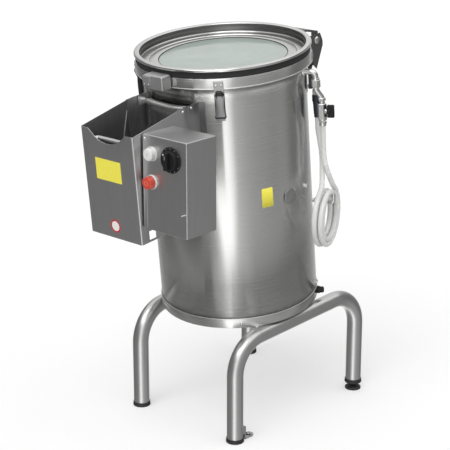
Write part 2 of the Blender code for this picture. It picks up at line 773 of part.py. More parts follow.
def drive_belt():
    """A flat loop in both grooves, with its straight runs on the grooves' common tangents."""
    large = DRIVEN_GROOVE + GAP
    small = MOTOR_GROOVE + GAP
    lean = math.acos((large - small) / MOTOR_OFFSET)
    large /= math.cos((math.pi - lean) / BELT_ARC_STEPS)
    small /= math.cos(lean / (BELT_ARC_STEPS // 2))
    loops = []
    for extra in (BELT_THICKNESS, 0):
        far = arc((0, 0), large + extra, lean, math.tau - lean, BELT_ARC_STEPS)
        near = arc((MOTOR_OFFSET, 0), small + extra, -lean, lean, BELT_ARC_STEPS // 2)
        loops.append(far + near)
    plate("drive_belt", loops, BELT_WIDTH, black("drive_belt"), parent=drum,
          place=(0, 0, PULLEY_H + PULLEY_WIDTH / 2))


# Collar, lid and hinge

lid = axis_empty("lid_axis", drum, (0, HINGE_Y, HINGE_H))
LID_PLACE = (0, -HINGE_Y, -HINGE_H)


def latch_frame(index):
    return axis_empty("latch_plane_%d" % (index + 1), drum, turn=(0, 0, LATCH_AZIMUTHS[index]))


latch_frames = [latch_frame(index) for index in range(len(LATCH_AZIMUTHS))]


def collar():
    """A channel round the drum's mouth, with a strike plate welded on for each latch."""
    low = DRUM_HEIGHT + GAP
    profile = [(COLLAR_RADIUS, COLLAR_TOP), (COLLAR_RADIUS, low), (COLLAR_FOOT_INNER, low),
               (COLLAR_FOOT_INNER, low + COLLAR_WALL), (COLLAR_RADIUS - COLLAR_WALL, low + COLLAR_WALL),
               (COLLAR_RADIUS - COLLAR_WALL, COLLAR_TOP - COLLAR_WALL),
               (COLLAR_INNER, COLLAR_TOP - COLLAR_WALL), (COLLAR_INNER, COLLAR_TOP)]
    piece = turned("collar", profile, steel("collar"), DRUM_STEPS, closed=True, parent=drum)
    for index, frame in enumerate(latch_frames):
        strike = block("strike_%d" % (index + 1),
                       (COLLAR_RADIUS - COLLAR_WALL / 2, -LATCH_HALF_WIDTH, STRIKE_LOW),
                       (COLLAR_RADIUS + STRIKE_THICKNESS, LATCH_HALF_WIDTH, STRIKE_TOP), parent=frame)
        join(piece, strike)


def lid_pieces():
    ring("lid_gasket", GASKET_INNER, GASKET_RADIUS, COLLAR_TOP + GAP, GASKET_TOP, black("lid_gasket"),
         parent=lid, place=LID_PLACE)
    rim_low = GASKET_TOP + GAP
    dish_outer = DISH_INNER + SHEET
    profile = [(RIM_CROWN_OUTER, RIM_CROWN), (RIM_RADIUS, RIM_SIDE_TOP), (RIM_RADIUS, rim_low),
               (dish_outer, rim_low), (dish_outer, FLANGE_BOTTOM), (GLASS_OPENING, FLANGE_BOTTOM),
               (GLASS_OPENING, FLANGE_TOP - FLANGE_STEP), (FLANGE_STEP_RADIUS, FLANGE_TOP - FLANGE_STEP),
               (FLANGE_STEP_RADIUS, FLANGE_TOP), (DISH_INNER, FLANGE_TOP), (DISH_INNER, DISH_RIM_TOP),
               (RIM_CROWN_INNER, RIM_CROWN)]
    turned("lid_ring", profile, steel("lid_ring"), DRUM_STEPS, closed=True, parent=lid, place=LID_PLACE)
    glass_top = FLANGE_BOTTOM - GAP
    rod("lid_glass", GLASS_RADIUS, glass_top - GLASS_THICKNESS, glass_top,
        finish("lid_glass", (0.72, 0.80, 0.76), 0.08, 0.0), DRUM_STEPS, parent=lid, place=LID_PLACE)


def lid_hinge_leaf():
    """The leaf that slopes back from under the lid's rim, with an ear at each end round the pin."""
    rear_top = GASKET_TOP - LEAF_DROP
    fall = LEAF_DROP * (LEAF_EAR_FRONT - LEAF_BEND_Y) / (LEAF_REAR - LEAF_BEND_Y)
    outline = [(LEAF_FRONT, GASKET_TOP), (LEAF_BEND_Y, GASKET_TOP), (LEAF_REAR, rear_top),
               (LEAF_REAR, rear_top - LEAF_PLATE), (LEAF_BEND_Y, GASKET_TOP - LEAF_PLATE),
               (LEAF_FRONT, GASKET_TOP - LEAF_PLATE)]
    leaf = plate("lid_hinge_leaf", [outline], 2 * LEAF_HALF_WIDTH, steel("lid_hinge_leaf"), parent=lid,
                 place=LID_PLACE, turn=UPRIGHT)
    rear = LEAF_REAR - GAP
    ear = [(LEAF_EAR_FRONT, LEAF_EAR_LOW), (rear, LEAF_EAR_LOW), (rear, rear_top - LEAF_PLATE / 2),
           (LEAF_EAR_FRONT, GASKET_TOP - fall - LEAF_PLATE / 2)]
    middle = LEAF_HALF_WIDTH - GAP - LEAF_EAR / 2
    for side, x in (("left", -middle), ("right", middle)):
        join(leaf, plate("leaf_ear_" + side, [ear], LEAF_EAR, parent=lid,
                         place=(x, LID_PLACE[1], LID_PLACE[2]), turn=UPRIGHT))
    hole = rod("leaf_hole", HINGE_PIN_RADIUS + 2 * GAP, -HINGE_HALF_WIDTH, HINGE_HALF_WIDTH, parent=lid,
               turn=ALONG_X)
    edge = rod("leaf_edge", GASKET_RADIUS + GAP, HINGE_H, RIM_CROWN, steps=DRUM_STEPS, parent=lid,
               place=LID_PLACE)
    cut(leaf, hole, edge)


def hinge_bracket():
    """Two cheeks that reach back from the collar, joined by a web, and the pin across them."""
    inner = HINGE_HALF_WIDTH - CHEEK_THICKNESS
    collar_y = chord(COLLAR_RADIUS, inner) + GAP
    outline = [(collar_y, CHEEK_TOP), (CHEEK_TOP_BACK, CHEEK_TOP), (CHEEK_BACK, CHEEK_BACK_TOP),
               (CHEEK_BACK, CHEEK_BACK_LOW), (CHEEK_HEEL_Y, CHEEK_HEEL_H), (CHEEK_TOE_Y, CHEEK_TOE_H),
               (CHEEK_FRONT_Y, CHEEK_FRONT_LOW), (CHEEK_FRONT_TOP_Y, CHEEK_FRONT_H),
               (CHEEK_FRONT_TOP_Y, CHEEK_ARM_LOW), (collar_y, CHEEK_ARM_LOW)]
    middle = HINGE_HALF_WIDTH - CHEEK_THICKNESS / 2
    bracket = plate("hinge_bracket", [outline], CHEEK_THICKNESS, steel("hinge_bracket"), parent=drum,
                    place=(middle, 0, 0), turn=UPRIGHT)
    other = plate("hinge_cheek_left", [outline], CHEEK_THICKNESS, parent=drum, place=(-middle, 0, 0),
                  turn=UPRIGHT)
    web = block("hinge_web", (-middle, CHEEK_FRONT_Y, WEB_LOW),
                (middle, CHEEK_FRONT_Y + CHEEK_THICKNESS, CHEEK_FRONT_H), parent=drum)
    reach = HINGE_HALF_WIDTH + OVERRUN
    hole = rod("hinge_hole", HINGE_PIN_RADIUS + GAP, -reach, reach, parent=drum,
               place=(0, HINGE_Y, HINGE_H), turn=ALONG_X)
    cut(join(bracket, other, web), hole)
    high = HINGE_HALF_WIDTH + GAP
    profile = [(0, high + HINGE_HEAD), (HINGE_HEAD_RADIUS, high + HINGE_HEAD), (HINGE_HEAD_RADIUS, high),
               (HINGE_PIN_RADIUS, high), (HINGE_PIN_RADIUS, -high), (HINGE_HEAD_RADIUS, -high),
               (HINGE_HEAD_RADIUS, -high - HINGE_HEAD), (0, -high - HINGE_HEAD)]
    turned("hinge_pin", profile, steel("hinge_pin"), parent=drum, place=(0, HINGE_Y, HINGE_H), turn=ALONG_X)


def interlock_housing():
    housing = block("interlock_housing", (INTERLOCK_LEFT, INTERLOCK_FRONT, INTERLOCK_LOW),
                    (INTERLOCK_RIGHT, -COLLAR_RADIUS - GAP, INTERLOCK_TOP),
                    finish("interlock_housing", (0.16, 0.16, 0.17), 0.5, 0.0), parent=drum)
    round_edges(housing, INTERLOCK_BEVEL)
    plate_low = (INTERLOCK_LEFT, INTERLOCK_FRONT - INTERLOCK_PLATE, INTERLOCK_PLATE_LOW)
    plate_high = (INTERLOCK_LEFT + INTERLOCK_PLATE_WIDTH, INTERLOCK_FRONT + INTERLOCK_BEVEL, INTERLOCK_TOP)
    join(housing, block("interlock_plate", plate_low, plate_high, parent=drum))


def toggle_latch(index, frame):
    """A base plate with a knuckle on the drum, and the lever whose pin turns in the knuckle."""
    name = "latch_base_%d" % (index + 1)
    plate_face = DRUM_RADIUS + GAP + LATCH_PLATE
    pivot = DRUM_RADIUS + LATCH_PIVOT_OUT
    base = block(name, (DRUM_RADIUS + GAP, -LATCH_BASE_HALF_WIDTH, LATCH_PLATE_LOW),
                 (plate_face, LATCH_BASE_HALF_WIDTH, LATCH_PLATE_TOP), steel(name), parent=frame)
    rib = block("rib_" + name, (plate_face - LATCH_PLATE / 2, -LATCH_KNUCKLE_HALF,
                                LATCH_PIVOT_H - LATCH_KNUCKLE_RADIUS),
                (pivot, LATCH_KNUCKLE_HALF, LATCH_PIVOT_H + LATCH_KNUCKLE_RADIUS), parent=frame)
    at_pivot = {"parent": frame, "place": (pivot, 0, LATCH_PIVOT_H), "turn": TO_FRONT}
    knuckle = rod("knuckle_" + name, LATCH_KNUCKLE_RADIUS, -LATCH_KNUCKLE_HALF, LATCH_KNUCKLE_HALF,
                  steps=SMALL_STEPS, **at_pivot)
    hole = rod("hole_" + name, LATCH_PIN_RADIUS + GAP, -LATCH_HALF_WIDTH, LATCH_HALF_WIDTH,
               steps=SMALL_STEPS, **at_pivot)
    cut(join(base, rib, knuckle), hole)
    lever_name = "latch_lever_%d" % (index + 1)
    axis = axis_empty(lever_name + "_axis", frame, (pivot, 0, LATCH_PIVOT_H))
    face = LEVER_FACE_OUT - LATCH_PIVOT_OUT
    top = LEVER_TOP - LATCH_PIVOT_H
    lever = block(lever_name, (face - LEVER_WALL, -LATCH_HALF_WIDTH, -LEVER_TAIL),
                  (face, LATCH_HALF_WIDTH, top), black(lever_name), parent=axis)
    inner = LATCH_HALF_WIDTH - LEVER_WALL
    for side, near, far in (("a", -LATCH_HALF_WIDTH, -inner), ("b", inner, LATCH_HALF_WIDTH)):
        join(lever, block("flange_%s_%s" % (side, lever_name), (face - LEVER_DEPTH, near, -LEVER_TAIL),
                          (face, far, top), parent=axis))
    pin_end = LATCH_HALF_WIDTH - LEVER_WALL / 2
    join(lever, rod("pin_" + lever_name, LATCH_PIN_RADIUS, -pin_end, pin_end, steps=SMALL_STEPS,
                    parent=axis, turn=TO_FRONT))


# Outlet, gate and chute

def outlet_frame():
    """Cheeks and a sloped sill that carry the gate, with a flange each side on the drum."""
    outer = CHUTE_HALF_WIDTH - CHUTE_SHEET - GAP
    inner = outer - SHEET
    into_drum = -chord(LINER_INNER, outer)
    frame = None
    for side, near, far in (("left", -outer, -inner), ("right", inner, outer)):
        low = (near, OUTLET_CHEEK_FRONT, OUTLET_CHEEK_LOW)
        high = (far, into_drum, CHUTE_SIDE_TOP)
        if frame is None:
            frame = block("outlet_frame", low, high, steel("outlet_frame"), parent=drum)
        else:
            join(frame, block("outlet_cheek_" + side, low, high, parent=drum))
    for side, turn in (("right", -OUTLET_FLANGE_AZIMUTH), ("left", OUTLET_FLANGE_AZIMUTH - math.pi)):
        face = DRUM_RADIUS + GAP
        join(frame, block("outlet_flange_" + side, (face, -OUTLET_FLANGE_WIDTH / 2, OUTLET_FLANGE_LOW),
                          (face + SHEET, OUTLET_FLANGE_WIDTH / 2, CHUTE_SIDE_TOP), parent=drum,
                          turn=(0, 0, turn)))
    outline = [(into_drum, SILL_DRUM_H), (OUTLET_CHEEK_FRONT, SILL_FRONT_H),
               (OUTLET_CHEEK_FRONT, SILL_FRONT_H - SHEET), (into_drum, SILL_DRUM_H - SHEET)]
    join(frame, plate("outlet_sill", [outline], 2 * inner + SHEET, parent=drum, turn=UPRIGHT))
    hole = rod("gate_pin_hole", RAIL_PIN_RADIUS + GAP, -CHUTE_HALF_WIDTH, CHUTE_HALF_WIDTH,
               steps=SMALL_STEPS, parent=drum, place=(0, GATE_AXIS_Y, GATE_AXIS_H), turn=ALONG_X)
    cut(frame, drum_trim, hole)


gate = axis_empty("gate_axis", drum, (0, GATE_AXIS_Y, GATE_AXIS_H))
GATE_PLACE = (0, -GATE_AXIS_Y, -GATE_AXIS_H)


def keep_front(piece, half_width, low, high, corner):
    """Keeps the part of a full ring that lies in front of the opening."""
    reach = 2 * GATE_CORNER + OVERRUN
    keeper = block("keeper_" + piece.name, (-half_width, -RAIL_OUTER - reach, low),
                   (half_width, reach - chord(GATE_INNER, half_width), high), parent=gate,
                   place=GATE_PLACE)
    if corner:
        round_edges(keeper, corner, 3)
    boolean(piece, keeper, "INTERSECT")


def gate_pieces():
    panel = ring("gate_panel", GATE_INNER, GATE_OUTER, GATE_LOW - OVERRUN, RAIL_TOP + OVERRUN,
                 finish("gate_panel", (0.20, 0.20, 0.20), 0.6, 0.8), parent=gate, place=GATE_PLACE)
    keep_front(panel, GATE_HALF_WIDTH, GATE_LOW, RAIL_TOP, GATE_CORNER)
    rail = ring("gate_rail", GATE_OUTER + GAP, RAIL_OUTER, RAIL_LOW, RAIL_TOP, steel("gate_rail"),
                parent=gate, place=GATE_PLACE)
    keep_front(rail, RAIL_HALF_WIDTH, RAIL_LOW - OVERRUN, RAIL_TOP + OVERRUN, 0)
    inner = RAIL_HALF_WIDTH - RAIL_EAR
    tip = RAIL_HALF_WIDTH + RAIL_PIN_LENGTH
    for side, near, far, pin in (("left", -RAIL_HALF_WIDTH, -inner, -tip),
                                 ("right", inner, RAIL_HALF_WIDTH, tip)):
        join(rail, block("rail_ear_" + side, (near, RAIL_EAR_FRONT, RAIL_LOW),
                         (far, RAIL_EAR_REAR, RAIL_EAR_TOP), parent=gate, place=GATE_PLACE))
        low, high = sorted((pin, math.copysign(inner + RAIL_EAR / 2, pin)))
        join(rail, rod("rail_pin_" + side, RAIL_PIN_RADIUS, low, high, steps=SMALL_STEPS, parent=gate,
                       turn=ALONG_X))


def chute_top(x, y, front):
    """Height of the chute's top edge: a dip for the hand in front, and sides that rise to the drum."""
    if front:
        share = min(1, abs(x) / HAND_HALF_WIDTH)
        return CHUTE_FRONT_TOP - HAND_DIP * (1 - share ** 2) * (1 - share ** 8)
    share = min(1, (y - CHUTE_FRONT) / (CHUTE_LEVEL_Y - CHUTE_FRONT))
    return CHUTE_FRONT_TOP + (CHUTE_SIDE_TOP - CHUTE_FRONT_TOP) * share


def chute_piece():
    """A U of sheet round the outlet, open above and below, with a grip behind its front edge."""
    wide = CHUTE_HALF_WIDTH - CHUTE_SHEET / 2
    front = CHUTE_FRONT + CHUTE_SHEET / 2
    corner = arc((wide - CHUTE_CORNER, front + CHUTE_CORNER), CHUTE_CORNER, 0, -math.pi / 2, 4)
    side = [(wide, CHUTE_REAR), (wide, CHUTE_LEVEL_Y)] + corner
    plan = [(x, y, chute_top(x, y, False)) for x, y in side]
    steps = 20
    across = [HAND_HALF_WIDTH * (1 - 2 * step / steps) for step in range(steps + 1)]
    plan += [(x, front, chute_top(x, front, True)) for x in across]
    plan += [(-x, y, chute_top(x, y, False)) for x, y in reversed(side)]
    form = bmesh.new()
    lows = [form.verts.new((x, y, CHUTE_LOW)) for x, y, top in plan]
    tops = [form.verts.new((x, y, top)) for x, y, top in plan]
    for low, top, next_top, next_low in zip(lows, tops, tops[1:], lows[1:]):
        form.faces.new((low, next_low, next_top, top))
    chute = add("chute", mesh_from("chute", form), steel("chute"), parent=drum)
    thick = chute.modifiers.new("Sheet", "SOLIDIFY")
    thick.thickness = CHUTE_SHEET
    thick.offset = 0
    thick.use_even_offset = True
    bend = GRIP_END_X - GRIP_HALF_LENGTH
    half = [(-GRIP_END_X, front)] + arc((-GRIP_HALF_LENGTH, GRIP_Y - bend), bend, math.pi, math.pi / 2, 4)
    grip = [(x, y, GRIP_H) for x, y in half] + [(-x, y, GRIP_H) for x, y in reversed(half)]
    join(chute, as_mesh(tube("chute_grip", grip, GRIP_RADIUS, parent=drum)))
    cut(chute, block("chute_slot", (wide - OVERRUN, SLOT_FRONT, SLOT_LOW),
                     (wide + OVERRUN, SLOT_REAR, SLOT_TOP), parent=drum))


# Control box

BOX_BACK = BOX_FRONT + BOX_DEPTH


def control_box():
    box = block("control_box", (BOX_LEFT, BOX_FRONT, BOX_LOW), (BOX_RIGHT, BOX_BACK, BOX_TOP),
                steel("control_box"), parent=machine)
    round_edges(box, BOX_CORNER)
    cut(box, block("box_inside", (BOX_LEFT + SHEET, BOX_FRONT + SHEET, BOX_LOW + SHEET),
                   (BOX_RIGHT - SHEET, BOX_BACK + OVERRUN, BOX_TOP - SHEET), parent=machine))
    for name, x, z in (("start", START_X, START_Z), ("stop", STOP_X, STOP_Z)):
        cut(box, rod(name + "_hole", BUTTON_HOLE, -OVERRUN, OVERRUN, parent=machine,
                     place=(x, BOX_FRONT, z), turn=TO_FRONT))


def box_bracket():
    """The back plate of the box, and the arm that holds it off the drum."""
    front = BOX_BACK + GAP
    bracket = block("box_bracket", (BOX_LEFT + BACK_INSET, front, BOX_LOW + BACK_INSET),
                    (BOX_RIGHT - BACK_INSET, front + SHEET, BOX_TOP - BACK_INSET), steel("box_bracket"),
                    parent=machine)
    flange_face = DRUM_RADIUS + GAP + SHEET + GAP
    at_drum = -chord(flange_face, ARM_X - SHEET / 2)
    low = from_drum(0, at_drum, ARM_DRUM_LOW_H)
    top = from_drum(0, at_drum, ARM_DRUM_TOP_H)
    outline = [(front + SHEET / 2, ARM_LOW), (low.y, low.z), (top.y, top.z), (front + SHEET / 2, ARM_TOP)]
    join(bracket, plate("bracket_arm", [outline], SHEET, parent=machine, place=(ARM_X, 0, 0), turn=UPRIGHT))


def push_button(name, x, z, stand, colour):
    at_face = {"parent": machine, "place": (x, BOX_FRONT, z), "turn": TO_FRONT}
    bezel = name + "_bezel"
    turned(bezel, [(BEZEL_RADIUS - SHEET, BEZEL_HEIGHT), (BEZEL_RADIUS, BEZEL_HEIGHT - SHEET),
                   (BEZEL_RADIUS, GAP), (BUTTON_HOLE, GAP), (BUTTON_HOLE, BEZEL_HEIGHT)],
           finish(bezel, (0.80, 0.80, 0.78), 0.4, 0.0), closed=True, **at_face)
    axis = axis_empty(name + "_axis", machine, (x, BOX_FRONT, z), TO_FRONT)
    button = name + "_button"
    turned(button, [(0, stand), (BUTTON_RADIUS - SHEET, stand), (BUTTON_RADIUS, stand - SHEET),
                    (BUTTON_RADIUS, -BUTTON_SINK), (0, -BUTTON_SINK)],
           finish(button, colour, 0.35, 0.0), parent=axis)


def timer():
    at_dial = (DIAL_X, BOX_FRONT, DIAL_Z)
    rod("timer_dial", DIAL_RADIUS, GAP, DIAL_THICKNESS, black("timer_dial"), 48, parent=machine,
        place=at_dial, turn=TO_FRONT)
    axis = axis_empty("timer_axis", machine, at_dial, TO_FRONT)
    base = DIAL_THICKNESS + GAP
    profile = [(0, base + KNOB_SKIRT), (KNOB_TOP_RADIUS, base + KNOB_SKIRT), (KNOB_RADIUS, base), (0, base)]
    knob = turned("timer_knob", profile, black("timer_knob"), parent=axis)
    grip = block("timer_grip", (-KNOB_GRIP_HALF_WIDTH, -KNOB_GRIP_HALF_LENGTH, base + KNOB_SKIRT / 2),
                 (KNOB_GRIP_HALF_WIDTH, KNOB_GRIP_HALF_LENGTH, base + KNOB_SKIRT + KNOB_GRIP_HEIGHT),
                 parent=axis)
    join(knob, round_edges(grip, SHEET))


# Water inlet and valve

def inlet_elbow():
    """The pipe from the shell down to the valve, its union nut, and the plug that parks the connector."""
    centre = (INLET_OUT - INLET_BEND, INLET_H - INLET_BEND)
    bend = arc(centre, INLET_BEND, math.pi / 2, 0, 5)
    path = [(DRUM_RADIUS + GAP, INLET_H)] + bend
    path += [(INLET_OUT, OFFSET_TOP), (VALVE_OUT, OFFSET_LOW), (VALVE_OUT, VALVE_TOP + GAP)]
    pipe = as_mesh(tube("inlet_elbow", [(out, 0, h) for out, h in path], PIPE_RADIUS, steel("inlet_elbow"),
                        parent=inlet))
    nut = rod("union_nut", UNION_RADIUS, UNION_LOW, UNION_TOP, steps=6, parent=inlet,
              place=(INLET_OUT, 0, 0))
    turn = PARK_PLUG_RADIUS
    plug_low = CONNECTOR_TOP - CONNECTOR_BORE_DEPTH + 2 * GAP
    arm = [(INLET_OUT, 0, PARK_ARM_H), (PARK_OUT, PARK_SIDE - turn, PARK_ARM_H),
           (PARK_OUT, PARK_SIDE, PARK_ARM_H - turn), (PARK_OUT, PARK_SIDE, plug_low)]
    join(pipe, nut, as_mesh(tube("parking_arm", arm, PARK_PLUG_RADIUS, parent=inlet)))


def ball_valve():
    body = rod("valve_body", VALVE_HEX, VALVE_LOW + VALVE_FLANGE, VALVE_TOP, steel("valve_body"), 6,
               parent=inlet, place=(VALVE_OUT, 0, 0))
    stem_h = VALVE_LOW + STEM_RISE
    stem_end = VALVE_HEX / 2 + STEM_LENGTH / 2
    join(body, rod("valve_flange", VALVE_FLANGE_RADIUS, VALVE_LOW, VALVE_LOW + 2 * VALVE_FLANGE,
                   parent=inlet, place=(VALVE_OUT, 0, 0)),
         rod("valve_stem", STEM_RADIUS, 0, stem_end, steps=SMALL_STEPS, parent=inlet,
             place=(VALVE_OUT, 0, stem_h), turn=ALONG_X))
    axis = axis_empty("valve_axis", inlet, (VALVE_OUT + stem_end + GAP, 0, stem_h))
    handle = block("valve_handle", (0, -HANDLE_WIDTH / 2, -HANDLE_LENGTH / 2),
                   (HANDLE_DEPTH, HANDLE_WIDTH / 2, HANDLE_LENGTH / 2), black("valve_handle"), parent=axis)
    round_edges(handle, HANDLE_BEVEL)
    join(handle, rod("handle_hub", HANDLE_HUB_RADIUS, 0, HANDLE_DEPTH / 2, steps=SMALL_STEPS, parent=axis,
                     turn=ALONG_X))


def hose_clamp():
    inner = HOSE_RADIUS + GAP
    outer = inner + CLAMP_WALL
    top = VALVE_LOW - CLAMP_DROP
    clamp = ring("hose_clamp", inner, outer, top - CLAMP_WIDTH, top, steel("hose_clamp"), SMALL_STEPS,
                 parent=inlet, place=(VALVE_OUT, 0, 0))
    screw_side = outer + CLAMP_SCREW_RADIUS - CLAMP_WALL / 2
    join(clamp, rod("clamp_screw", CLAMP_SCREW_RADIUS, -CLAMP_SCREW_LENGTH / 2, CLAMP_SCREW_LENGTH / 2,
                    steps=SMALL_STEPS, parent=inlet,
                    place=(VALVE_OUT, screw_side, top - CLAMP_WIDTH / 2), turn=ALONG_X))


# Water hose

COIL_OUT = Vector((math.cos(COIL_AZIMUTH), math.sin(COIL_AZIMUTH), 0))
COIL_SIDE = Vector((-math.sin(COIL_AZIMUTH), math.cos(COIL_AZIMUTH), 0))
COIL_MIDDLE = Vector((COIL_X, COIL_Y, COIL_Z))
HOSE_DIAMETER = 2 * HOSE_RADIUS
COIL_SWEEP = 2 * COIL_TURNS_A_LAYER * math.tau - (COIL_END - COIL_START)
LAYER_OUT = HOSE_STEP / 2


def on_coil(out, side, up):
    return COIL_MIDDLE + COIL_OUT * out + COIL_SIDE * side + Vector((0, 0, up))


def coil_points():
    """In towards the middle in the outer layer, and out again in the layer behind it."""
    count = round(COIL_SWEEP / math.tau * COIL_TURN_POINTS)
    turns = COIL_SWEEP / math.tau
    points = []
    for index in range(count + 1):
        share = index / count
        turn = COIL_START - COIL_SWEEP * share
        radius = COIL_RADIUS - HOSE_STEP * turns / 2 * (1 - abs(2 * share - 1))
        climb = min(1, max(0, (share - 1 / 2) * 2 * turns + 1 / 2))
        out = LAYER_OUT * (1 - 2 * climb * climb * (3 - 2 * climb))
        points.append(on_coil(out, radius * math.cos(turn), radius * math.sin(turn)))
    first = on_coil(0, math.sin(COIL_START), -math.cos(COIL_START)) - COIL_MIDDLE
    last = on_coil(0, math.sin(COIL_END), -math.cos(COIL_END)) - COIL_MIDDLE
    return [points[0] - first * HOSE_LEAD] + points + [points[-1] + last * HOSE_LEAD]


def least_gap(points):
    """The least gap between turns, measured from the points to the runs half a turn or more away."""
    least = math.inf
    for index, point in enumerate(points):
        for later in range(index + COIL_TURN_POINTS // 2, len(points) - 1):
            run = points[later + 1] - points[later]
            share = min(1, max(0, (point - points[later]).dot(run) / run.length_squared))
            least = min(least, (points[later] + run * share - point).length)
    return least - HOSE_DIAMETER


def water_hose():
    coil = coil_points()
    print("least gap between the hose's turns: %.5f m" % least_gap(coil))
    tube("hose_coil", coil, HOSE_RADIUS, clear_hose("hose_coil"), 1, parent=machine)
    down = from_drum(0, 0, 0) - from_drum(0, 0, 1)
    exit_point = from_inlet(VALVE_OUT, 0, VALVE_LOW - GAP)
    into = (coil[1] - coil[0]).normalized()
    end = coil[0] - into * GAP
    drop = [exit_point, exit_point + down * HOSE_LEAD, exit_point + down * DROP_STRAIGHT]
    drop += [Vector(place) for place in DROP_ROUTE] + [end - into * HOSE_LEAD, end]
    tube("hose_drop", smooth(drop, 2 * HOSE_DIAMETER), HOSE_RADIUS, clear_hose("hose_drop"), 2,
         parent=machine)
    leave = (coil[-1] - coil[-2]).normalized()
    start = coil[-1] + leave * GAP
    stop = from_inlet(PARK_OUT, PARK_SIDE, CONNECTOR_LOW - GAP)
    tail = [start, start + leave * HOSE_LEAD] + [Vector(place) for place in TAIL_ROUTE]
    tail += [stop + down * DROP_STRAIGHT, stop + down * HOSE_LEAD, stop]
    tube("hose_tail", smooth(tail, 2 * HOSE_DIAMETER), HOSE_RADIUS, clear_hose("hose_tail"), 2,
         parent=machine)


def tap_connector():
    bore_low = CONNECTOR_TOP - CONNECTOR_BORE_DEPTH
    profile = [(0, bore_low), (CONNECTOR_BORE, bore_low), (CONNECTOR_BORE, CONNECTOR_TOP),
               (CONNECTOR_RADIUS, CONNECTOR_TOP), (CONNECTOR_RADIUS, CONNECTOR_TAPER_TOP),
               (CONNECTOR_NECK + SHEET, CONNECTOR_TAPER_TOP), (CONNECTOR_NECK, CONNECTOR_LOW),
               (0, CONNECTOR_LOW)]
    turned("tap_connector", profile, finish("tap_connector", (0.07, 0.10, 0.16), 0.4, 0.1), parent=inlet,
           place=(PARK_OUT, PARK_SIDE, 0))


def hose_hook():
    """A rod from the drum through the coil, turned up at its end."""
    inner = COIL_RADIUS - HOSE_STEP * COIL_SWEEP / math.tau / 2
    up = inner - HOSE_RADIUS - HOOK_RADIUS - GAP
    out = LAYER_OUT + HOSE_RADIUS + HOOK_RADIUS + 2 * GAP
    inside = DRUM_RADIUS - OVERRUN - math.hypot(COIL_X, COIL_Y + DRUM_BASE_Z * SIN_LEAN)
    bend = arc((out - HOOK_BEND, up + HOOK_BEND), HOOK_BEND, -math.pi / 2, 0, 4)
    path = [(inside, up)] + bend + [(out, up + HOOK_RISE)]
    hook = as_mesh(tube("hose_hook", [on_coil(along, 0, rise) for along, rise in path], HOOK_RADIUS,
                        steel("hose_hook"), parent=machine))
    cut(hook, drum_trim)


# Small pieces on the side of the drum

def side_fittings():
    plug = axis_empty("plug_plane", drum, turn=(0, 0, PLUG_AZIMUTH))
    edge = PLUG_THICKNESS / 2
    profile = [(0, PLUG_THICKNESS), (PLUG_RADIUS - edge, PLUG_THICKNESS), (PLUG_RADIUS, edge),
               (PLUG_RADIUS, 0), (0, 0)]
    turned("shell_plug", profile, finish("shell_plug", (0.30, 0.30, 0.30), 0.5, 0.3), parent=plug,
           place=(DRUM_RADIUS + GAP, 0, PLUG_H), turn=ALONG_X)
    gland = axis_empty("gland_plane", drum, turn=(0, 0, GLAND_AZIMUTH))
    bore_end = GLAND_LENGTH - GLAND_BORE_DEPTH
    profile = [(0, bore_end), (GLAND_BORE, bore_end), (GLAND_BORE, GLAND_LENGTH),
               (GLAND_RADIUS, GLAND_LENGTH), (GLAND_RADIUS, GLAND_NUT), (GLAND_NUT_RADIUS, GLAND_NUT),
               (GLAND_NUT_RADIUS, 0), (0, 0)]
    turned("cable_gland", profile, black("cable_gland"), parent=gland,
           place=(DRUM_RADIUS + BAND_WALL + 2 * GAP, 0, BAND_HEIGHT / 2), turn=ALONG_X)


leg_frames()
base_plate()
casing()
chamber_floor()
abrasive_disc()
spindle_and_pulleys()
motor()
drive_belt()
collar()
lid_pieces()
lid_hinge_leaf()
hinge_bracket()
interlock_housing()
for number, plane in enumerate(latch_frames):
    toggle_latch(number, plane)
outlet_frame()
gate_pieces()
chute_piece()
control_box()
box_bracket()
push_button("start", START_X, START_Z, BUTTON_STAND, (0.85, 0.85, 0.83))
push_button("stop", STOP_X, STOP_Z, BUTTON_STAND + STOP_EXTRA, (0.60, 0.05, 0.03))
timer()
inlet_elbow()
ball_valve()
hose_clamp()
water_hose()
tap_connector()
hose_hook()
side_fittings()
bpy.context.view_layer.update()
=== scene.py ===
import math

import bmesh
import bpy
from mathutils import Matrix, Vector


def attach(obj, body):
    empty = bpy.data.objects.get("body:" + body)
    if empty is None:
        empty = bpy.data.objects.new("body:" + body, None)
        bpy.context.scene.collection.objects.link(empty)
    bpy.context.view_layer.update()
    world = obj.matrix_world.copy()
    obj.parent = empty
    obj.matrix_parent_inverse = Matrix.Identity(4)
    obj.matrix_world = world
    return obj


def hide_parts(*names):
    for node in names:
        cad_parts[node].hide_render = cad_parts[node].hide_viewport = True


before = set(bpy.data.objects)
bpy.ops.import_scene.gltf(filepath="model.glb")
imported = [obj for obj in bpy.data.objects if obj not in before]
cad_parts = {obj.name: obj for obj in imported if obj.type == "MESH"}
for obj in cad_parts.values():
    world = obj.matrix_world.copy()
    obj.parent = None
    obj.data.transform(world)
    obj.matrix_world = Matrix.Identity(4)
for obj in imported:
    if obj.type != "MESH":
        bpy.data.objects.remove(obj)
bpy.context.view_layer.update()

# Places and sizes, as in the model (metres)
DRUM_PLACE = Vector((-0.0170, 0.0884, 0.2711))
DRUM_LEAN = math.radians(5.78)
DRUM_RADIUS = 0.185
DRUM_HEIGHT = 0.573
SHEET = 0.0015
GAP = 0.0003
OPENING_HALF, OPENING_LOW, OPENING_TOP = 0.062, 0.356, 0.5355
LATCH_AZIMUTHS = [math.radians(turn) for turn in (-51.3, 38.7, 128.7, -141.3)]
INLET_AZIMUTH = math.radians(24)
HINGE_Y, HINGE_H = 0.237, 0.579
GATE_Y, GATE_H = -0.196, 0.536
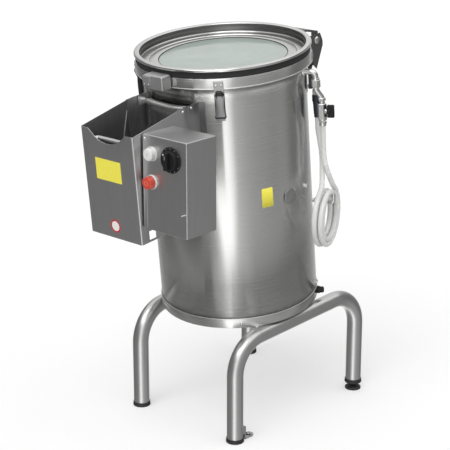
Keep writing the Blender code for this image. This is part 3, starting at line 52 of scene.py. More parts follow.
CHUTE_FRONT, CHUTE_REAR, CHUTE_HALF = -0.377, -0.212, 0.078
BOX_LOW, BOX_HIGH = Vector((0.0645, -0.3116, 0.552)), Vector((0.189, -0.2216, 0.758))
START, STOP, TIMER = (0.091, 0.7195), (0.090, 0.6585), (0.145, 0.715)
VALVE_OUT = 0.2245
PARK_OUT, PARK_SIDE = 0.206, 0.025
HOSE_RADIUS = 0.006
FINE = 160

DRUM = Matrix.Translation(DRUM_PLACE) @ Matrix.Rotation(DRUM_LEAN, 4, "X")
STAND = Matrix.Translation((DRUM_PLACE.x, DRUM_PLACE.y, 0))
TO_FRONT = Matrix.Rotation(math.pi / 2, 4, "X")
TO_OUT = Matrix.Rotation(math.pi / 2, 4, "Y")
IDENTITY = Matrix.Identity(4)


def at(x, y, z):
    return Matrix.Translation((x, y, z))


def about(azimuth):
    """The drum's frame, turned so that local X points out of the drum at this azimuth."""
    return DRUM @ Matrix.Rotation(azimuth, 4, "Z")


def put(name, data):
    made = bpy.data.objects.new(name, data)
    bpy.context.scene.collection.objects.link(made)
    return made


INLET = about(INLET_AZIMUTH)


# Camera, fitted to the photo

CAMERA_PLACE = (2.1792, -2.4868, 1.5189)
CAMERA_DIP, CAMERA_TURN = 0.3143, 0.7303

camera = put("camera", bpy.data.cameras.new("camera"))
camera.location = STAND @ Vector(CAMERA_PLACE)
camera.rotation_euler = (math.pi / 2 - CAMERA_DIP, 0, CAMERA_TURN)
camera.data.lens = 117.55
camera.data.sensor_width = 36
camera.data.clip_end = 60
bpy.context.scene.camera = camera
bpy.context.scene.view_settings.view_transform = "Standard"


# Materials: each has one colour, and a grain that its tone, roughness and relief follow

GRAIN_LOW, GRAIN_HIGH = 0.3, 0.7


def node(tree, kind, **values):
    made = tree.nodes.new(kind)
    for key, value in values.items():
        setattr(made, key, value)
    return made


def join(tree, *pairs):
    for start, end in pairs:
        tree.links.new(start, end)


def fill(made, **values):
    """Sets a node's sockets by name, with _ for each space."""
    for key, value in values.items():
        made.inputs[key.replace("_", " ")].default_value = value


def three(value):
    return value if isinstance(value, tuple) else (value,) * 3


def finish(name, colour, roughness, metallic, grain, tone, spread, relief, detail=4.0, **sockets):
    """A Principled material; colour and grain are three numbers, or one for three equal ones."""
    made = bpy.data.materials.new(name)
    made.use_nodes = True
    tree = made.node_tree
    shader = tree.nodes["Principled BSDF"]
    fill(shader, Metallic=metallic, **sockets)
    place = node(tree, "ShaderNodeTexCoord")
    stretch = node(tree, "ShaderNodeMapping")
    fill(stretch, Scale=three(grain))
    noise = node(tree, "ShaderNodeTexNoise")
    fill(noise, Scale=1.0, Detail=detail, Roughness=0.6)
    shade = node(tree, "ShaderNodeValToRGB")
    for stop, position, change in zip(shade.color_ramp.elements, (GRAIN_LOW, GRAIN_HIGH), (-tone, tone)):
        stop.position = position
        stop.color = (*[channel * (1 + change) for channel in three(colour)], 1)
    rough = node(tree, "ShaderNodeMapRange")
    fill(rough, From_Min=GRAIN_LOW, From_Max=GRAIN_HIGH, To_Min=roughness - spread, To_Max=roughness + spread)
    bump = node(tree, "ShaderNodeBump")
    fill(bump, Strength=0.6, Distance=relief)
    join(tree, (place.outputs["Object"], stretch.inputs["Vector"]),
         (stretch.outputs["Vector"], noise.inputs["Vector"]),
         (noise.outputs["Fac"], shade.inputs["Fac"]),
         (noise.outputs["Fac"], rough.inputs["Value"]),
         (noise.outputs["Fac"], bump.inputs["Height"]),
         (shade.outputs["Color"], shader.inputs["Base Color"]),
         (rough.outputs["Result"], shader.inputs["Roughness"]),
         (bump.outputs["Normal"], shader.inputs["Normal"]))
    return made


def brushed(name, colour, roughness, anisotropic, *grain):
    """Brushed steel whose highlights stretch across the brush lines, round local Z."""
    made = finish(name, colour, roughness, 1.0, *grain)
    tree = made.node_tree
    shader = tree.nodes["Principled BSDF"]
    fill(shader, Anisotropic=anisotropic, Anisotropic_Rotation=0.25)
    tangent = node(tree, "ShaderNodeTangent", direction_type="RADIAL", axis="Z")
    join(tree, (tangent.outputs["Tangent"], shader.inputs["Tangent"]))
    return made


drum_steel = brushed("drum_steel", (0.62, 0.62, 0.61), 0.25, 1.0, (5, 5, 900), 0.025, 0.03, 0.0000012)
# A darker copy of the rim steel for the rim's inner wall: painted shade and painted dark reflection, not the
# steel's own colour
rim_painted_shade = finish("rim_painted_shade", 0.19, 0.34, 1.0, (12, 12, 500), 0.08, 0.06, 0.000003)
rim_steel = brushed("rim_steel", (0.68, 0.68, 0.67), 0.22, 0.4, (10, 10, 500), 0.03, 0.05, 0.000004)
sheet_steel = finish("sheet_steel", 0.56, 0.36, 1.0, (500, 500, 12), 0.05, 0.05, 0.000006)
# A darker copy of the sheet steel for the chute's inside: painted shade, not the sheet's own colour
chute_painted_shade = finish("chute_painted_shade", 0.20, 0.5, 0.9, (400, 400, 10), 0.12, 0.08, 0.00001)
tube_steel = finish("tube_steel", (0.58, 0.58, 0.575), 0.33, 1.0, (60, 60, 9), 0.02, 0.03, 0.000002)
bright_steel = finish("bright_steel", (0.68, 0.68, 0.67), 0.20, 1.0, 120, 0.05, 0.06, 0.000003)
satin_steel = finish("satin_steel", (0.80, 0.80, 0.79), 0.42, 1.0, (40, 40, 300), 0.03, 0.05, 0.000003)
hinge_steel = finish("hinge_steel", 0.22, 0.5, 1.0, (300, 300, 40), 0.12, 0.08, 0.00001)
gate_steel = finish("gate_steel", 0.40, 0.45, 1.0, (300, 300, 20), 0.1, 0.08, 0.00001)
worn_steel = finish("worn_steel", 0.42, 0.38, 1.0, (300, 300, 40), 0.12, 0.1, 0.00002)
black_metal = finish("black_metal", (0.022, 0.022, 0.024), 0.42, 0.0, 350, 0.2, 0.1, 0.00002)
rubber = finish("rubber", (0.022, 0.022, 0.023), 0.62, 0.0, 260, 0.25, 0.1, 0.00006)
black_plastic = finish("black_plastic", (0.010, 0.010, 0.011), 0.5, 0.0, 500, 0.2, 0.08, 0.00002,
                       Specular_IOR_Level=0.3)
housing_grey = finish("housing_grey", 0.50, 0.36, 0.80, 420, 0.12, 0.08, 0.00004)
white_plastic = finish("white_plastic", (0.80, 0.80, 0.78), 0.28, 0.0, 120, 0.03, 0.06, 0.00001,
                       Coat_Weight=0.4)
mark_white = finish("mark_white", (0.86, 0.86, 0.84), 0.4, 0.0, 300, 0.03, 0.05, 0.00001)
mark_grey = finish("mark_grey", 0.42, 0.5, 0.0, 300, 0.05, 0.05, 0.00001)
red_plastic = finish("red_plastic", (0.66, 0.06, 0.03), 0.26, 0.0, 120, 0.05, 0.06, 0.00001,
                     Coat_Weight=0.5)
mark_red = finish("mark_red", (0.82, 0.22, 0.14), 0.4, 0.0, 300, 0.04, 0.05, 0.00001)
sign_red = finish("sign_red", (0.56, 0.03, 0.04), 0.4, 0.0, 200, 0.06, 0.06, 0.00001)
label_yellow = finish("label_yellow", (0.95, 0.86, 0.08), 0.42, 0.0, 160, 0.03, 0.08, 0.00001,
                      Coat_Weight=0.3)
fitting_blue = finish("fitting_blue", (0.016, 0.021, 0.034), 0.3, 0.1, 300, 0.15, 0.08, 0.00002)
liner_grit = finish("liner_grit", (0.30, 0.31, 0.30), 0.85, 0.0, 900, 0.3, 0.1, 0.0004)
disc_grit = finish("disc_grit", 0.11, 0.92, 0.0, 700, 0.4, 0.06, 0.0009)
cast_grey = finish("cast_grey", (0.25, 0.26, 0.27), 0.6, 0.4, 200, 0.15, 0.12, 0.0002)
motor_paint = finish("motor_paint", (0.10, 0.16, 0.24), 0.45, 0.1, 90, 0.08, 0.1, 0.0001)
aluminium = finish("aluminium", (0.5, 0.51, 0.52), 0.34, 0.9, (30, 30, 700), 0.06, 0.08, 0.00001)
pipe_grey = finish("pipe_grey", (0.35, 0.36, 0.37), 0.45, 0.0, 60, 0.06, 0.1, 0.00004)
glass = finish("lid_glass", (0.64, 0.72, 0.67), 0.08, 0.0, 14, 0.05, 0.05, 0.00001, detail=2.0,
               Transmission_Weight=0.42, IOR=1.5)
hose_clear = finish("clear_hose", (0.93, 0.93, 0.915), 0.26, 0.0, 16, 0.03, 0.05, 0.000004,
                    detail=2.0, Transmission_Weight=0.22, IOR=1.4)


# Forms: each adds one shape to a bmesh, and shape() makes the piece

def lathe(form, profile, steps, place=IDENTITY, closed=False, start=0.0, span=math.tau):
    """A profile of (radius, height) turned about Z; closed profiles leave the axis open."""
    whole = abs(span - math.tau) < 1e-9
    columns = []
    for step in range(steps + (0 if whole else 1)):
        turn = start + span * step / steps
        columns.append([form.verts.new(place @ Vector((r * math.cos(turn), r * math.sin(turn), h)))
                        for r, h in profile])
    rows = list(range(len(profile)))
    pairs = list(zip(rows, rows[1:] + ([0] if closed else [])))
    count = len(columns)
    for index in range(count if whole else count - 1):
        near, far = columns[index], columns[(index + 1) % count]
        for low, high in pairs:
            if profile[low][0] or profile[high][0]:
                form.faces.new((near[low], far[low], far[high], near[high]))
    if not whole:
        form.faces.new(columns[0])
        form.faces.new(list(reversed(columns[-1])))


def disc(form, radius, high, low, steps, place=IDENTITY):
    lathe(form, [(0, high), (radius, high), (radius, low), (0, low)], steps, place)


def ring(form, inner, outer, high, low, steps, place=IDENTITY):
    lathe(form, [(outer, high), (outer, low), (inner, low), (inner, high)], steps, place, True)


def sheet_faces(form, columns, left_out=()):
    """The faces between columns of corners, apart from those left out as (column, row)."""
    for index, (near, far) in enumerate(zip(columns, columns[1:])):
        for row in range(len(near) - 1):
            if (index, row) not in left_out:
                form.faces.new((near[row], far[row], far[row + 1], near[row + 1]))


def block(form, low, high, place=IDENTITY):
    low, high = Vector(low), Vector(high)
    for corner in bmesh.ops.create_cube(form, size=1)["verts"]:
        corner.co = place @ ((low + high) / 2 + Vector(a * b for a, b in zip(corner.co, high - low)))


def sweep(form, points, radius, sides):
    """A round bar along a route, with flat ends."""
    points = [Vector(point) for point in points]
    rings = []
    side = None
    for index, point in enumerate(points):
        along = (points[min(index + 1, len(points) - 1)] - points[max(index - 1, 0)]).normalized()
        if side is None:
            side = along.orthogonal().normalized()
        side = (side - along * side.dot(along)).normalized()
        other = along.cross(side)
        turns = [math.tau * k / sides for k in range(sides)]
        rings.append([form.verts.new(point + (side * math.cos(turn) + other * math.sin(turn)) * radius)
                      for turn in turns])
    for near, far in zip(rings, rings[1:]):
        for k in range(sides):
            form.faces.new((near[k], near[(k + 1) % sides], far[(k + 1) % sides], far[k]))
    form.faces.new(list(reversed(rings[0])))
    form.faces.new(rings[-1])


def dome(form, radius, height, place, base=0.0):
    """A low rounded head that stands on local Z = 0."""
    profile = [(0, base + height), (radius * 0.5, base + height * 0.86),
               (radius * 0.85, base + height * 0.45), (radius, base), (radius, 0), (0, 0)]
    lathe(form, profile, 16, place)


def hexagon(form, radius, low, high, place=IDENTITY, chamfer=0.0008):
    profile = [(0, high), (radius - chamfer, high), (radius, high - chamfer), (radius, low + chamfer),
               (radius - chamfer, low), (0, low)]
    lathe(form, profile, 6, place)


def arc(centre, radius, start, end, steps):
    turns = [start + (end - start) * step / steps for step in range(steps + 1)]
    return [(centre[0] + radius * math.cos(turn), centre[1] + radius * math.sin(turn)) for turn in turns]


def round_edges(piece, width, sharp, segments=2):
    change = piece.modifiers.new("edges", "BEVEL")
    change.width = width
    change.segments = segments
    change.limit_method = "ANGLE"
    change.angle_limit = math.radians(sharp)
    return change


def shape(name, form, material, body="machine", slot="steel", replaces=(), place=IDENTITY, bevel=0.0,
          sharp=32.0, segments=2):
    """One piece from a bmesh in the frame given by place."""
    bmesh.ops.remove_doubles(form, verts=form.verts, dist=1e-7)
    bmesh.ops.dissolve_degenerate(form, edges=form.edges, dist=1e-8)
    bmesh.ops.recalc_face_normals(form, faces=form.faces)
    mesh = bpy.data.meshes.new(name)
    form.to_mesh(mesh)
    form.free()
    mesh.polygons.foreach_set("use_smooth", [True] * len(mesh.polygons))
    piece = put(name, mesh)
    piece.matrix_world = place
    for used in material if isinstance(material, list) else [material]:
        mesh.materials.append(used)
    if bevel:
        round_edges(piece, bevel, sharp, segments).harden_normals = True
    else:
        mesh.set_sharp_from_angle(angle=math.radians(sharp))
    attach(piece, body)
    if replaces:
        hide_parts(*replaces)
    return piece


def turned(name, profile, steps, material, *given, spot=IDENTITY, closed=False, **more):
    """A piece of one lathe."""
    form = bmesh.new()
    lathe(form, profile, steps, spot, closed)
    shape(name, form, material, *given, **more)


def bead(name, radius, height, size):
    """A thin round bead about the drum's axis."""
    profile = arc((radius, height), size, 0, math.tau * 7 / 8, 7)
    turned(name, profile, FINE, satin_steel, closed=True, place=DRUM)


def boxed(name, low, high, material, *given, **more):
    """A piece of one block."""
    form = bmesh.new()
    block(form, low, high)
    shape(name, form, material, *given, **more)


def thicken(piece, thickness, inside=None):
    """Gives an open sheet its thickness inwards, and another finish inside if one is given."""
    change = piece.modifiers.new("sheet", "SOLIDIFY")
    change.thickness = thickness
    change.offset = -1
    change.use_even_offset = True
    if inside:
        piece.data.materials.append(inside)
        change.material_offset = 1


def dress(name, material, bevel):
    """Gives a carried-over node its material and fine bevelled edges."""
    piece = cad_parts[name]
    piece.data.materials.clear()
    piece.data.materials.append(material)
    if bevel:
        weld = piece.modifiers.new("weld", "WELD")
        weld.merge_threshold = 0.00002
        round_edges(piece, bevel, 40)


# Water hose: one clear tube that drops, winds into the coil and rises to its parked connector

COIL_MIDDLE = Vector((0.214, 0.055, 0.498))
COIL_TURN = math.radians(20)
COIL_OUT = Vector((math.cos(COIL_TURN), math.sin(COIL_TURN), 0))
COIL_SIDE = Vector((-math.sin(COIL_TURN), math.cos(COIL_TURN), 0))
COIL_RADIUS = 0.070
COIL_STEP = 0.0128
COIL_START, COIL_END = math.radians(52), math.radians(124)
COIL_SWEEP = 4 * math.tau - (COIL_END - COIL_START)
COIL_INNER = COIL_RADIUS - COIL_STEP * COIL_SWEEP / math.tau / 2
COIL_POINTS = 144
HOSE_TOP, CONNECTOR_LOW = 0.447, 0.446
HOSE_LEAD, HOSE_STRAIGHT = 0.012, 0.030
DROP_ROUTE = [(0.2048, 0.0511, 0.6630), (0.2068, 0.0529, 0.6330), (0.2121, 0.0575, 0.6060)]
TAIL_ROUTE = [(0.2060, 0.0478, 0.5810), (0.1965, 0.0593, 0.5965), (0.1901, 0.0666, 0.6180),
              (0.1871, 0.0675, 0.6430), (0.1817, 0.0661, 0.6730)]


def on_coil(out, side, up):
    return STAND @ (COIL_MIDDLE + COIL_OUT * out + COIL_SIDE * side + Vector((0, 0, up)))


def coil_points():
    turns = COIL_SWEEP / math.tau
    points = []
    for index in range(COIL_POINTS + 1):
        share = index / COIL_POINTS
        turn = COIL_START - COIL_SWEEP * share
        radius = COIL_RADIUS - COIL_STEP * turns / 2 * (1 - abs(2 * share - 1))
        climb = min(1, max(0, (share - 1 / 2) * 2 * turns + 1 / 2))
        out = COIL_STEP / 2 * (1 - 2 * climb * climb * (3 - 2 * climb))
        points.append(on_coil(out, radius * math.cos(turn), radius * math.sin(turn)))
    first = on_coil(0, math.sin(COIL_START), -math.cos(COIL_START)) - on_coil(0, 0, 0)
    last = on_coil(0, math.sin(COIL_END), -math.cos(COIL_END)) - on_coil(0, 0, 0)
    return [points[0] - first * HOSE_LEAD] + points + [points[-1] + last * HOSE_LEAD]


def smooth(route, steps=6):
    """Points along a smooth curve through a route, whose first and last runs stay straight."""
    points = [route[0]]
    for before, start, end, after in zip(route, route[1:], route[2:], route[3:]):
        for step in range(steps):
            share = step / steps
            pull = (end - before) * share + (2 * before - 5 * start + 4 * end - after) * share ** 2
            pull += (3 * start - before - 3 * end + after) * share ** 3
            points.append(start + pull / 2)
    return points + [route[-2], route[-1]]


def water_hose():
    coil = coil_points()
    down = DRUM.to_3x3() @ Vector((0, 0, -1))
    leaves = INLET @ Vector((VALVE_OUT, 0, HOSE_TOP - GAP))
    into = (coil[1] - coil[0]).normalized()
    leave = (coil[-1] - coil[-2]).normalized()
    parked = INLET @ Vector((PARK_OUT, PARK_SIDE, CONNECTOR_LOW - GAP))
    drop = [leaves, leaves + down * HOSE_LEAD, leaves + down * HOSE_STRAIGHT]
    drop += [STAND @ Vector(place) for place in DROP_ROUTE] + [coil[0] - into * HOSE_LEAD, coil[0]]
    tail = [coil[-1], coil[-1] + leave * HOSE_LEAD] + [STAND @ Vector(place) for place in TAIL_ROUTE]
    tail += [parked + down * HOSE_STRAIGHT, parked + down * HOSE_LEAD, parked]
    points = smooth(drop)[:-1] + coil + smooth(tail)[1:]
    curve = bpy.data.curves.new("water_hose", "CURVE")
    curve.dimensions = "3D"
    run = curve.splines.new("POLY")
    run.points.add(len(points) - 1)
    for point, where in zip(run.points, points):
        point.co = (*where, 1)
    run.use_smooth = True
    curve.bevel_depth = HOSE_RADIUS
    curve.bevel_resolution = 6
    curve.use_fill_caps = True
    curve.materials.append(hose_clear)
    hose = put("water_hose", curve)
    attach(hose, "machine")
    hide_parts("hose_drop", "hose_coil", "hose_tail")
    length = sum((far - near).length for near, far in zip(points, points[1:]))
    return hose, leaves, length


def tap_connector():
    """The hose's end fitting, pushed over the plug that parks it."""
    form = bmesh.new()
    profile = [(0.0065, 0.486), (0.0065, 0.498), (0.0094, 0.498), (0.0100, 0.4972), (0.0100, 0.483),
               (0.0092, 0.482), (0.0090, 0.4805)]
    for index in range(4):
        top = 0.4795 - 0.0072 * index
        size = 0.0090 - 0.0003 * index
        profile += [(size, top), (size, top - 0.0045), (size - 0.0008, top - 0.0052),
                    (size - 0.0008, top - 0.0068)]
    profile += [(0.0076, 0.4465), (0.0072, CONNECTOR_LOW), (0, CONNECTOR_LOW)]
    parked = at(PARK_OUT, PARK_SIDE, 0)
    lathe(form, [(0, 0.486)] + profile, 28, parked)
    for index in range(12):
        turn = Matrix.Rotation(math.tau * index / 12, 4, "Z")
        block(form, (0.0096, -0.0008, 0.484), (0.0104, 0.0008, 0.4965), parked @ turn)
    return shape("hose_connector", form, fitting_blue, slot="blue_black_plastic", replaces=["tap_connector"],
                 place=INLET, sharp=40)


def hose_clamp():
    form = bmesh.new()
    centre = at(VALVE_OUT, 0, 0)
    for outer, high, low in ((0.0077, 0.4430, 0.4340), (0.0079, 0.4425, 0.4415), (0.0079, 0.4355, 0.4345)):
        ring(form, 0.0063, outer, high, low, 32, centre)
    screw = at(VALVE_OUT, 0.0100, 0.4385) @ TO_OUT
    block(form, (VALVE_OUT - 0.0035, 0.0066, 0.4350), (VALVE_OUT + 0.0035, 0.0112, 0.4420))
    disc(form, 0.0022, 0.0055, -0.0045, 14, screw)
    hexagon(form, 0.0031, 0.0030, 0.0065, screw, 0.0003)
    return shape("clamp_band", form, bright_steel, replaces=["hose_clamp"], place=INLET, bevel=0.0002)


hose, hose_exit, hose_length = water_hose()
tap_connector()
hose_clamp()


# Drum, collar, lid, hinge, interlock and latches

BAND_OUT = 0.1868
CHAMBER_RADIUS, CHAMBER_LOW = 0.178, 0.3253


def wall(name, radius, low, high, material, slot, node_name, inside=None):
    """A sheet round the drum with the outlet's opening left out."""
    half = math.asin(OPENING_HALF / radius)
    clear = math.tau - 2 * half
    turns = [-math.pi / 2 + half + clear * step / FINE for step in range(FINE)]
    turns += [-math.pi / 2 - half + 2 * half * step / 20 for step in range(20)]
    heights = [low, OPENING_LOW, OPENING_TOP, high]
    form = bmesh.new()
    columns = [[form.verts.new((radius * math.cos(turn), radius * math.sin(turn), h)) for h in heights]
               for turn in turns]
    for index, near in enumerate(columns):
        far = columns[(index + 1) % len(columns)]
        for row in range(3):
            if index < FINE or row != 1:
                form.faces.new((near[row], far[row], far[row + 1], near[row + 1]))
    thicken(shape(name, form, material, slot=slot, replaces=[node_name], place=DRUM), SHEET, inside)


def drum_pieces():
    wall("drum_shell", DRUM_RADIUS, 0, DRUM_HEIGHT, drum_steel, "steel", "outer_shell", worn_steel)
    wall("chamber_wall", CHAMBER_RADIUS, CHAMBER_LOW, DRUM_HEIGHT, liner_grit, "liner", "chamber_liner")

    profile = [(0.1861, 0.0228), (0.1866, 0.0224), (BAND_OUT, 0.0216), (BAND_OUT, 0.0010), (0.1862, 0),
               (0.1853, 0), (0.1853, 0.0228)]
    turned("drum_band", profile, FINE, drum_steel, closed=True, replaces=["bottom_band"], place=DRUM)
    bead("band_bead", 0.1862, 0.0226, 0.0010)

    profile = [(0.1968, 0.5970), (0.1982, 0.5966), (0.1988, 0.5956), (0.1988, 0.5758), (0.1985, 0.5738),
               (0.1976, 0.5733), (0.1800, 0.5733), (0.1800, 0.5753), (0.1968, 0.5753), (0.1968, 0.5950),
               (0.1910, 0.5950), (0.1910, 0.5970)]
    turned("mouth_collar", profile, FINE, drum_steel, closed=True, replaces=["collar"], place=DRUM)
    bead("collar_bead", 0.1988, 0.5740, 0.0012)


SEAL_RIBS, SEAL_RIB_STEP = 4, 0.0034
WALL_RADIUS, WALL_LOW = 0.1875, 0.5985
WINDOW_TOP, WINDOW_LOW = 0.5922, 0.5872


def lid_pieces():
    profile = [(0.1888, 0.5973), (0.1888, 0.6110), (0.1966, 0.6110)]
    for index in range(SEAL_RIBS):
        top = 0.6106 - SEAL_RIB_STEP * index
        profile += [(0.1968, top), (0.1968, top - 0.0022), (0.1961, top - 0.0028)]
    profile += [(0.1964, 0.5975), (0.1960, 0.5973)]
    turned("lid_seal", profile, FINE, rubber, "lid", "rubber", ["lid_gasket"], DRUM, closed=True)

    form = bmesh.new()
    profile = arc((0.1972, 0.6147), 0.0028, 0, math.pi / 2, 5)
    profile += arc((0.1906, 0.6137), 0.0038, math.pi / 2, math.pi, 5)
    profile += [(0.1868, 0.6060), (0.1872, 0.6054), (0.1872, 0.6044), (0.1868, 0.6038)]
    profile += arc((0.1848, 0.5982), 0.0022, 0, -math.pi / 2, 4)
    profile += [(0.1668, 0.5960), (0.1656, 0.5956), (0.1650, 0.5944), (0.1475, 0.5942), (0.1462, 0.5937),
                (0.1460, 0.5925), (0.1885, 0.5925), (0.1885, 0.6113), (0.1995, 0.6113), (0.2000, 0.6118)]
    lathe(form, profile, FINE, closed=True)
    # The faces of the rim's inner wall take the darker copy of the rim steel: painted shade
    for face in form.faces:
        spot = face.calc_center_median()
        if math.hypot(spot.x, spot.y) < WALL_RADIUS and spot.z > WALL_LOW:
            face.material_index = 1
    shape("lid_rim", form, [rim_steel, rim_painted_shade], "lid", "steel", ["lid_ring"], DRUM, sharp=50)

    profile = [(0, WINDOW_TOP), (0.1588, WINDOW_TOP), (0.1600, WINDOW_TOP - 0.0012),
               (0.1600, WINDOW_LOW + 0.0012), (0.1588, WINDOW_LOW), (0, WINDOW_LOW)]
    turned("lid_window", profile, FINE, glass, "lid", "glass", ["lid_glass"], DRUM)
    profile = [(0.1465, 0.5924), (0.1465, 0.5938), (0.1452, 0.5938), (0.1448, 0.5930), (0.1450, 0.5924)]
    turned("window_seal", profile, FINE, rubber, "lid", "rubber", place=DRUM, closed=True)


def hinge():
    dress("hinge_bracket", hinge_steel, 0.0006)
    dress("lid_hinge_leaf", hinge_steel, 0.0006)
    high = 0.0803
    head = [(0, high + 0.0040), (0.0042, high + 0.0037), (0.0074, high + 0.0024), (0.0088, high + 0.0006),
            (0.0088, high), (0.0050, high)]
    profile = head + [(radius, -height) for radius, height in reversed(head)]
    place = DRUM @ at(0, HINGE_Y, HINGE_H) @ TO_OUT
    turned("hinge_axle", profile, 24, bright_steel, replaces=["hinge_pin"], place=place)


PLATE_FRONT = -0.231


def interlock():
    boxed("interlock_cover", (-0.027, -0.228, 0.5715), (0.028, -0.1993, 0.6045), housing_grey,
          slot="dark_plastic", replaces=["interlock_housing"], place=DRUM, bevel=0.0032, segments=4)
    boxed("interlock_plate", (-0.027, PLATE_FRONT, 0.5800), (-0.006, -0.2275, 0.6025), housing_grey,
          slot="dark_plastic", place=DRUM, bevel=0.0008)
    form = bmesh.new()
    for x, h in ((-0.0225, 0.5840), (-0.0105, 0.5840), (-0.0165, 0.5985)):
        dome(form, 0.0015, 0.0008, at(x, PLATE_FRONT, h) @ TO_FRONT)
    shape("interlock_screws", form, bright_steel, place=DRUM)


LATCH_HALF, STRIKE_OUT = 0.0108, 0.2007
LEVER_LOW, LEVER_TOP, LEVER_OUT = 0.5065, 0.5605, 0.1970
FACE_HALF, FACE_LOW, FACE_TALL, FACE_ROWS = 0.0100, 0.5105, 0.0465, 14
FACE_COLUMNS = [-FACE_HALF, -0.0086, -0.0040, 0, 0.0040, 0.0086, FACE_HALF]


def latch(number, azimuth):
    frame_here = about(azimuth)
    body = "latch_%d" % number
    dress("latch_base_%d" % number, worn_steel, 0.0003)

    boxed("strike_plate_%d" % number, (0.1978, -LATCH_HALF, 0.5670), (STRIKE_OUT, LATCH_HALF, 0.5920),
          worn_steel, place=frame_here, bevel=0.0011, segments=3)
    form = bmesh.new()
    for side in (-0.0056, 0.0056):
        dome(form, 0.0027, 0.0013, at(STRIKE_OUT, side, 0.5818) @ TO_OUT)
    shape("strike_rivets_%d" % number, form, bright_steel, place=frame_here)

    form = bmesh.new()
    block(form, (0.1955, -LATCH_HALF, LEVER_LOW), (LEVER_OUT, LATCH_HALF, LEVER_TOP))
    for left, right in ((-LATCH_HALF, -0.0093), (0.0093, LATCH_HALF)):
        block(form, (0.1885, left, LEVER_LOW), (0.1960, right, LEVER_TOP))
    shape("lever_channel_%d" % number, form, black_metal, body, "black_metal", ["latch_lever_%d" % number],
          frame_here, bevel=0.0005)
    form = bmesh.new()
    grid = []
    for row in range(FACE_ROWS + 1):
        share = row / FACE_ROWS
        narrow = 1 - 0.10 * math.sin(math.pi * share)
        lift = 0.0003 + 0.0013 * math.sin(math.pi * share) ** 0.6
        grid.append([form.verts.new((LEVER_OUT + lift * (1 - (side / FACE_HALF) ** 4), side * narrow,
                                     FACE_LOW + FACE_TALL * share)) for side in FACE_COLUMNS])
    sheet_faces(form, list(zip(*grid)))
    edges = [edge for edge in form.edges if edge.is_boundary]
    sunk = bmesh.ops.extrude_edge_only(form, edges=edges)["geom"]
    for corner in (item for item in sunk if isinstance(item, bmesh.types.BMVert)):
        corner.co.x = 0.1966
    bmesh.ops.holes_fill(form, edges=[edge for edge in form.edges if edge.is_boundary])
    shape("lever_face_%d" % number, form, gate_steel, body, "steel", place=frame_here, sharp=50)

    form = bmesh.new()
    half = [(0.1935, -0.0062, 0.5440), (0.1988, -0.0062, 0.5590), (0.2024, -0.0062, 0.5680),
            (0.2026, -0.0050, 0.5696)]
    sweep(form, half + [(out, -side, h) for out, side, h in reversed(half)], 0.0010, 10)
    block(form, (0.1972, -0.0070, 0.5580), (0.1990, 0.0070, 0.5655))
    lathe(form, [(0, 0.0122), (0.0024, 0.0122), (0.0028, 0.0116), (0.0028, -0.0116), (0.0024, -0.0122),
                 (0, -0.0122)], 16, at(0.1925, 0, 0.5095) @ TO_FRONT)
    shape("lever_bail_%d" % number, form, black_metal, body, "black_metal", place=frame_here, sharp=40)


# Outlet: frame, gate, rail and chute

GATE_HALF, GATE_LOW, GATE_TOP = 0.065, 0.348, 0.532
GATE_CORNER, GATE_OUT, GATE_STEPS = 0.012, 0.1915, 40
RAIL_OUT, RAIL_H, RAIL_DEEP, RAIL_TALL, RAIL_SIDES = 0.1959, 0.5255, 0.0041, 0.0065, 20
RAIL_TURN = math.asin(0.0735 / 0.200)


def gate():
    dress("outlet_frame", worn_steel, 0.0004)
    form = bmesh.new()
    columns = []
    for index in range(GATE_STEPS + 1):
        x = GATE_HALF * (2 * index / GATE_STEPS - 1)
        over = max(0.0, abs(x) - (GATE_HALF - GATE_CORNER))
        edge = GATE_LOW + GATE_CORNER - math.sqrt(max(0.0, GATE_CORNER ** 2 - over ** 2))
        turn = math.asin(x / GATE_OUT)
        columns.append([form.verts.new((GATE_OUT * math.sin(turn), -GATE_OUT * math.cos(turn),
                                        edge + (GATE_TOP - edge) * row / 6)) for row in range(7)])
    sheet_faces(form, columns)
    thicken(shape("gate_sheet", form, gate_steel, "gate", "dark_steel", ["gate_panel"], DRUM), 0.0025)

    form = bmesh.new()
    profile = [(RAIL_OUT + RAIL_DEEP * math.cos(math.tau * step / RAIL_SIDES),
                RAIL_H + RAIL_TALL * math.sin(math.tau * step / RAIL_SIDES)) for step in range(RAIL_SIDES)]
    lathe(form, profile, 40, closed=True, start=-math.pi / 2 - RAIL_TURN, span=2 * RAIL_TURN)
    shape("gate_bar", form, satin_steel, "gate", "steel", ["gate_rail"], DRUM, sharp=50)
    form = bmesh.new()
    for sign in (-1, 1):
        near, far = sorted((sign * 0.0729, sign * 0.0744))
        block(form, (near, -0.206, 0.5190), (far, -0.176, 0.5415))
        near, far = sorted((sign * 0.0735, sign * 0.0769))
        disc(form, 0.003, far, near, 16, at(0, GATE_Y, GATE_H) @ TO_OUT)
    shape("gate_ears", form, sheet_steel, "gate", "steel", place=DRUM, bevel=0.0004)


CHUTE_TOP, CHUTE_SHEET, CHUTE_BEND = 0.522, 0.0012, 0.004
DIP_HALF, DIP_DEPTH, DIP_STEPS = 0.058, 0.027, 36
SIDE_RISE, SIDE_RUN = 0.0205, 0.152
SLOT_LOW, SLOT_TOP = 0.285, 0.305
GRIP_HEIGHT, SIGN_INNER = 0.497, 0.0112


def front_top(x):
    share = min(1, abs(x) / DIP_HALF)
    return CHUTE_TOP - DIP_DEPTH * (1 - share ** 2) * (1 - share ** 8)


def side_top(y):
    return CHUTE_TOP + SIDE_RISE * min(1, (y - CHUTE_FRONT) / SIDE_RUN)


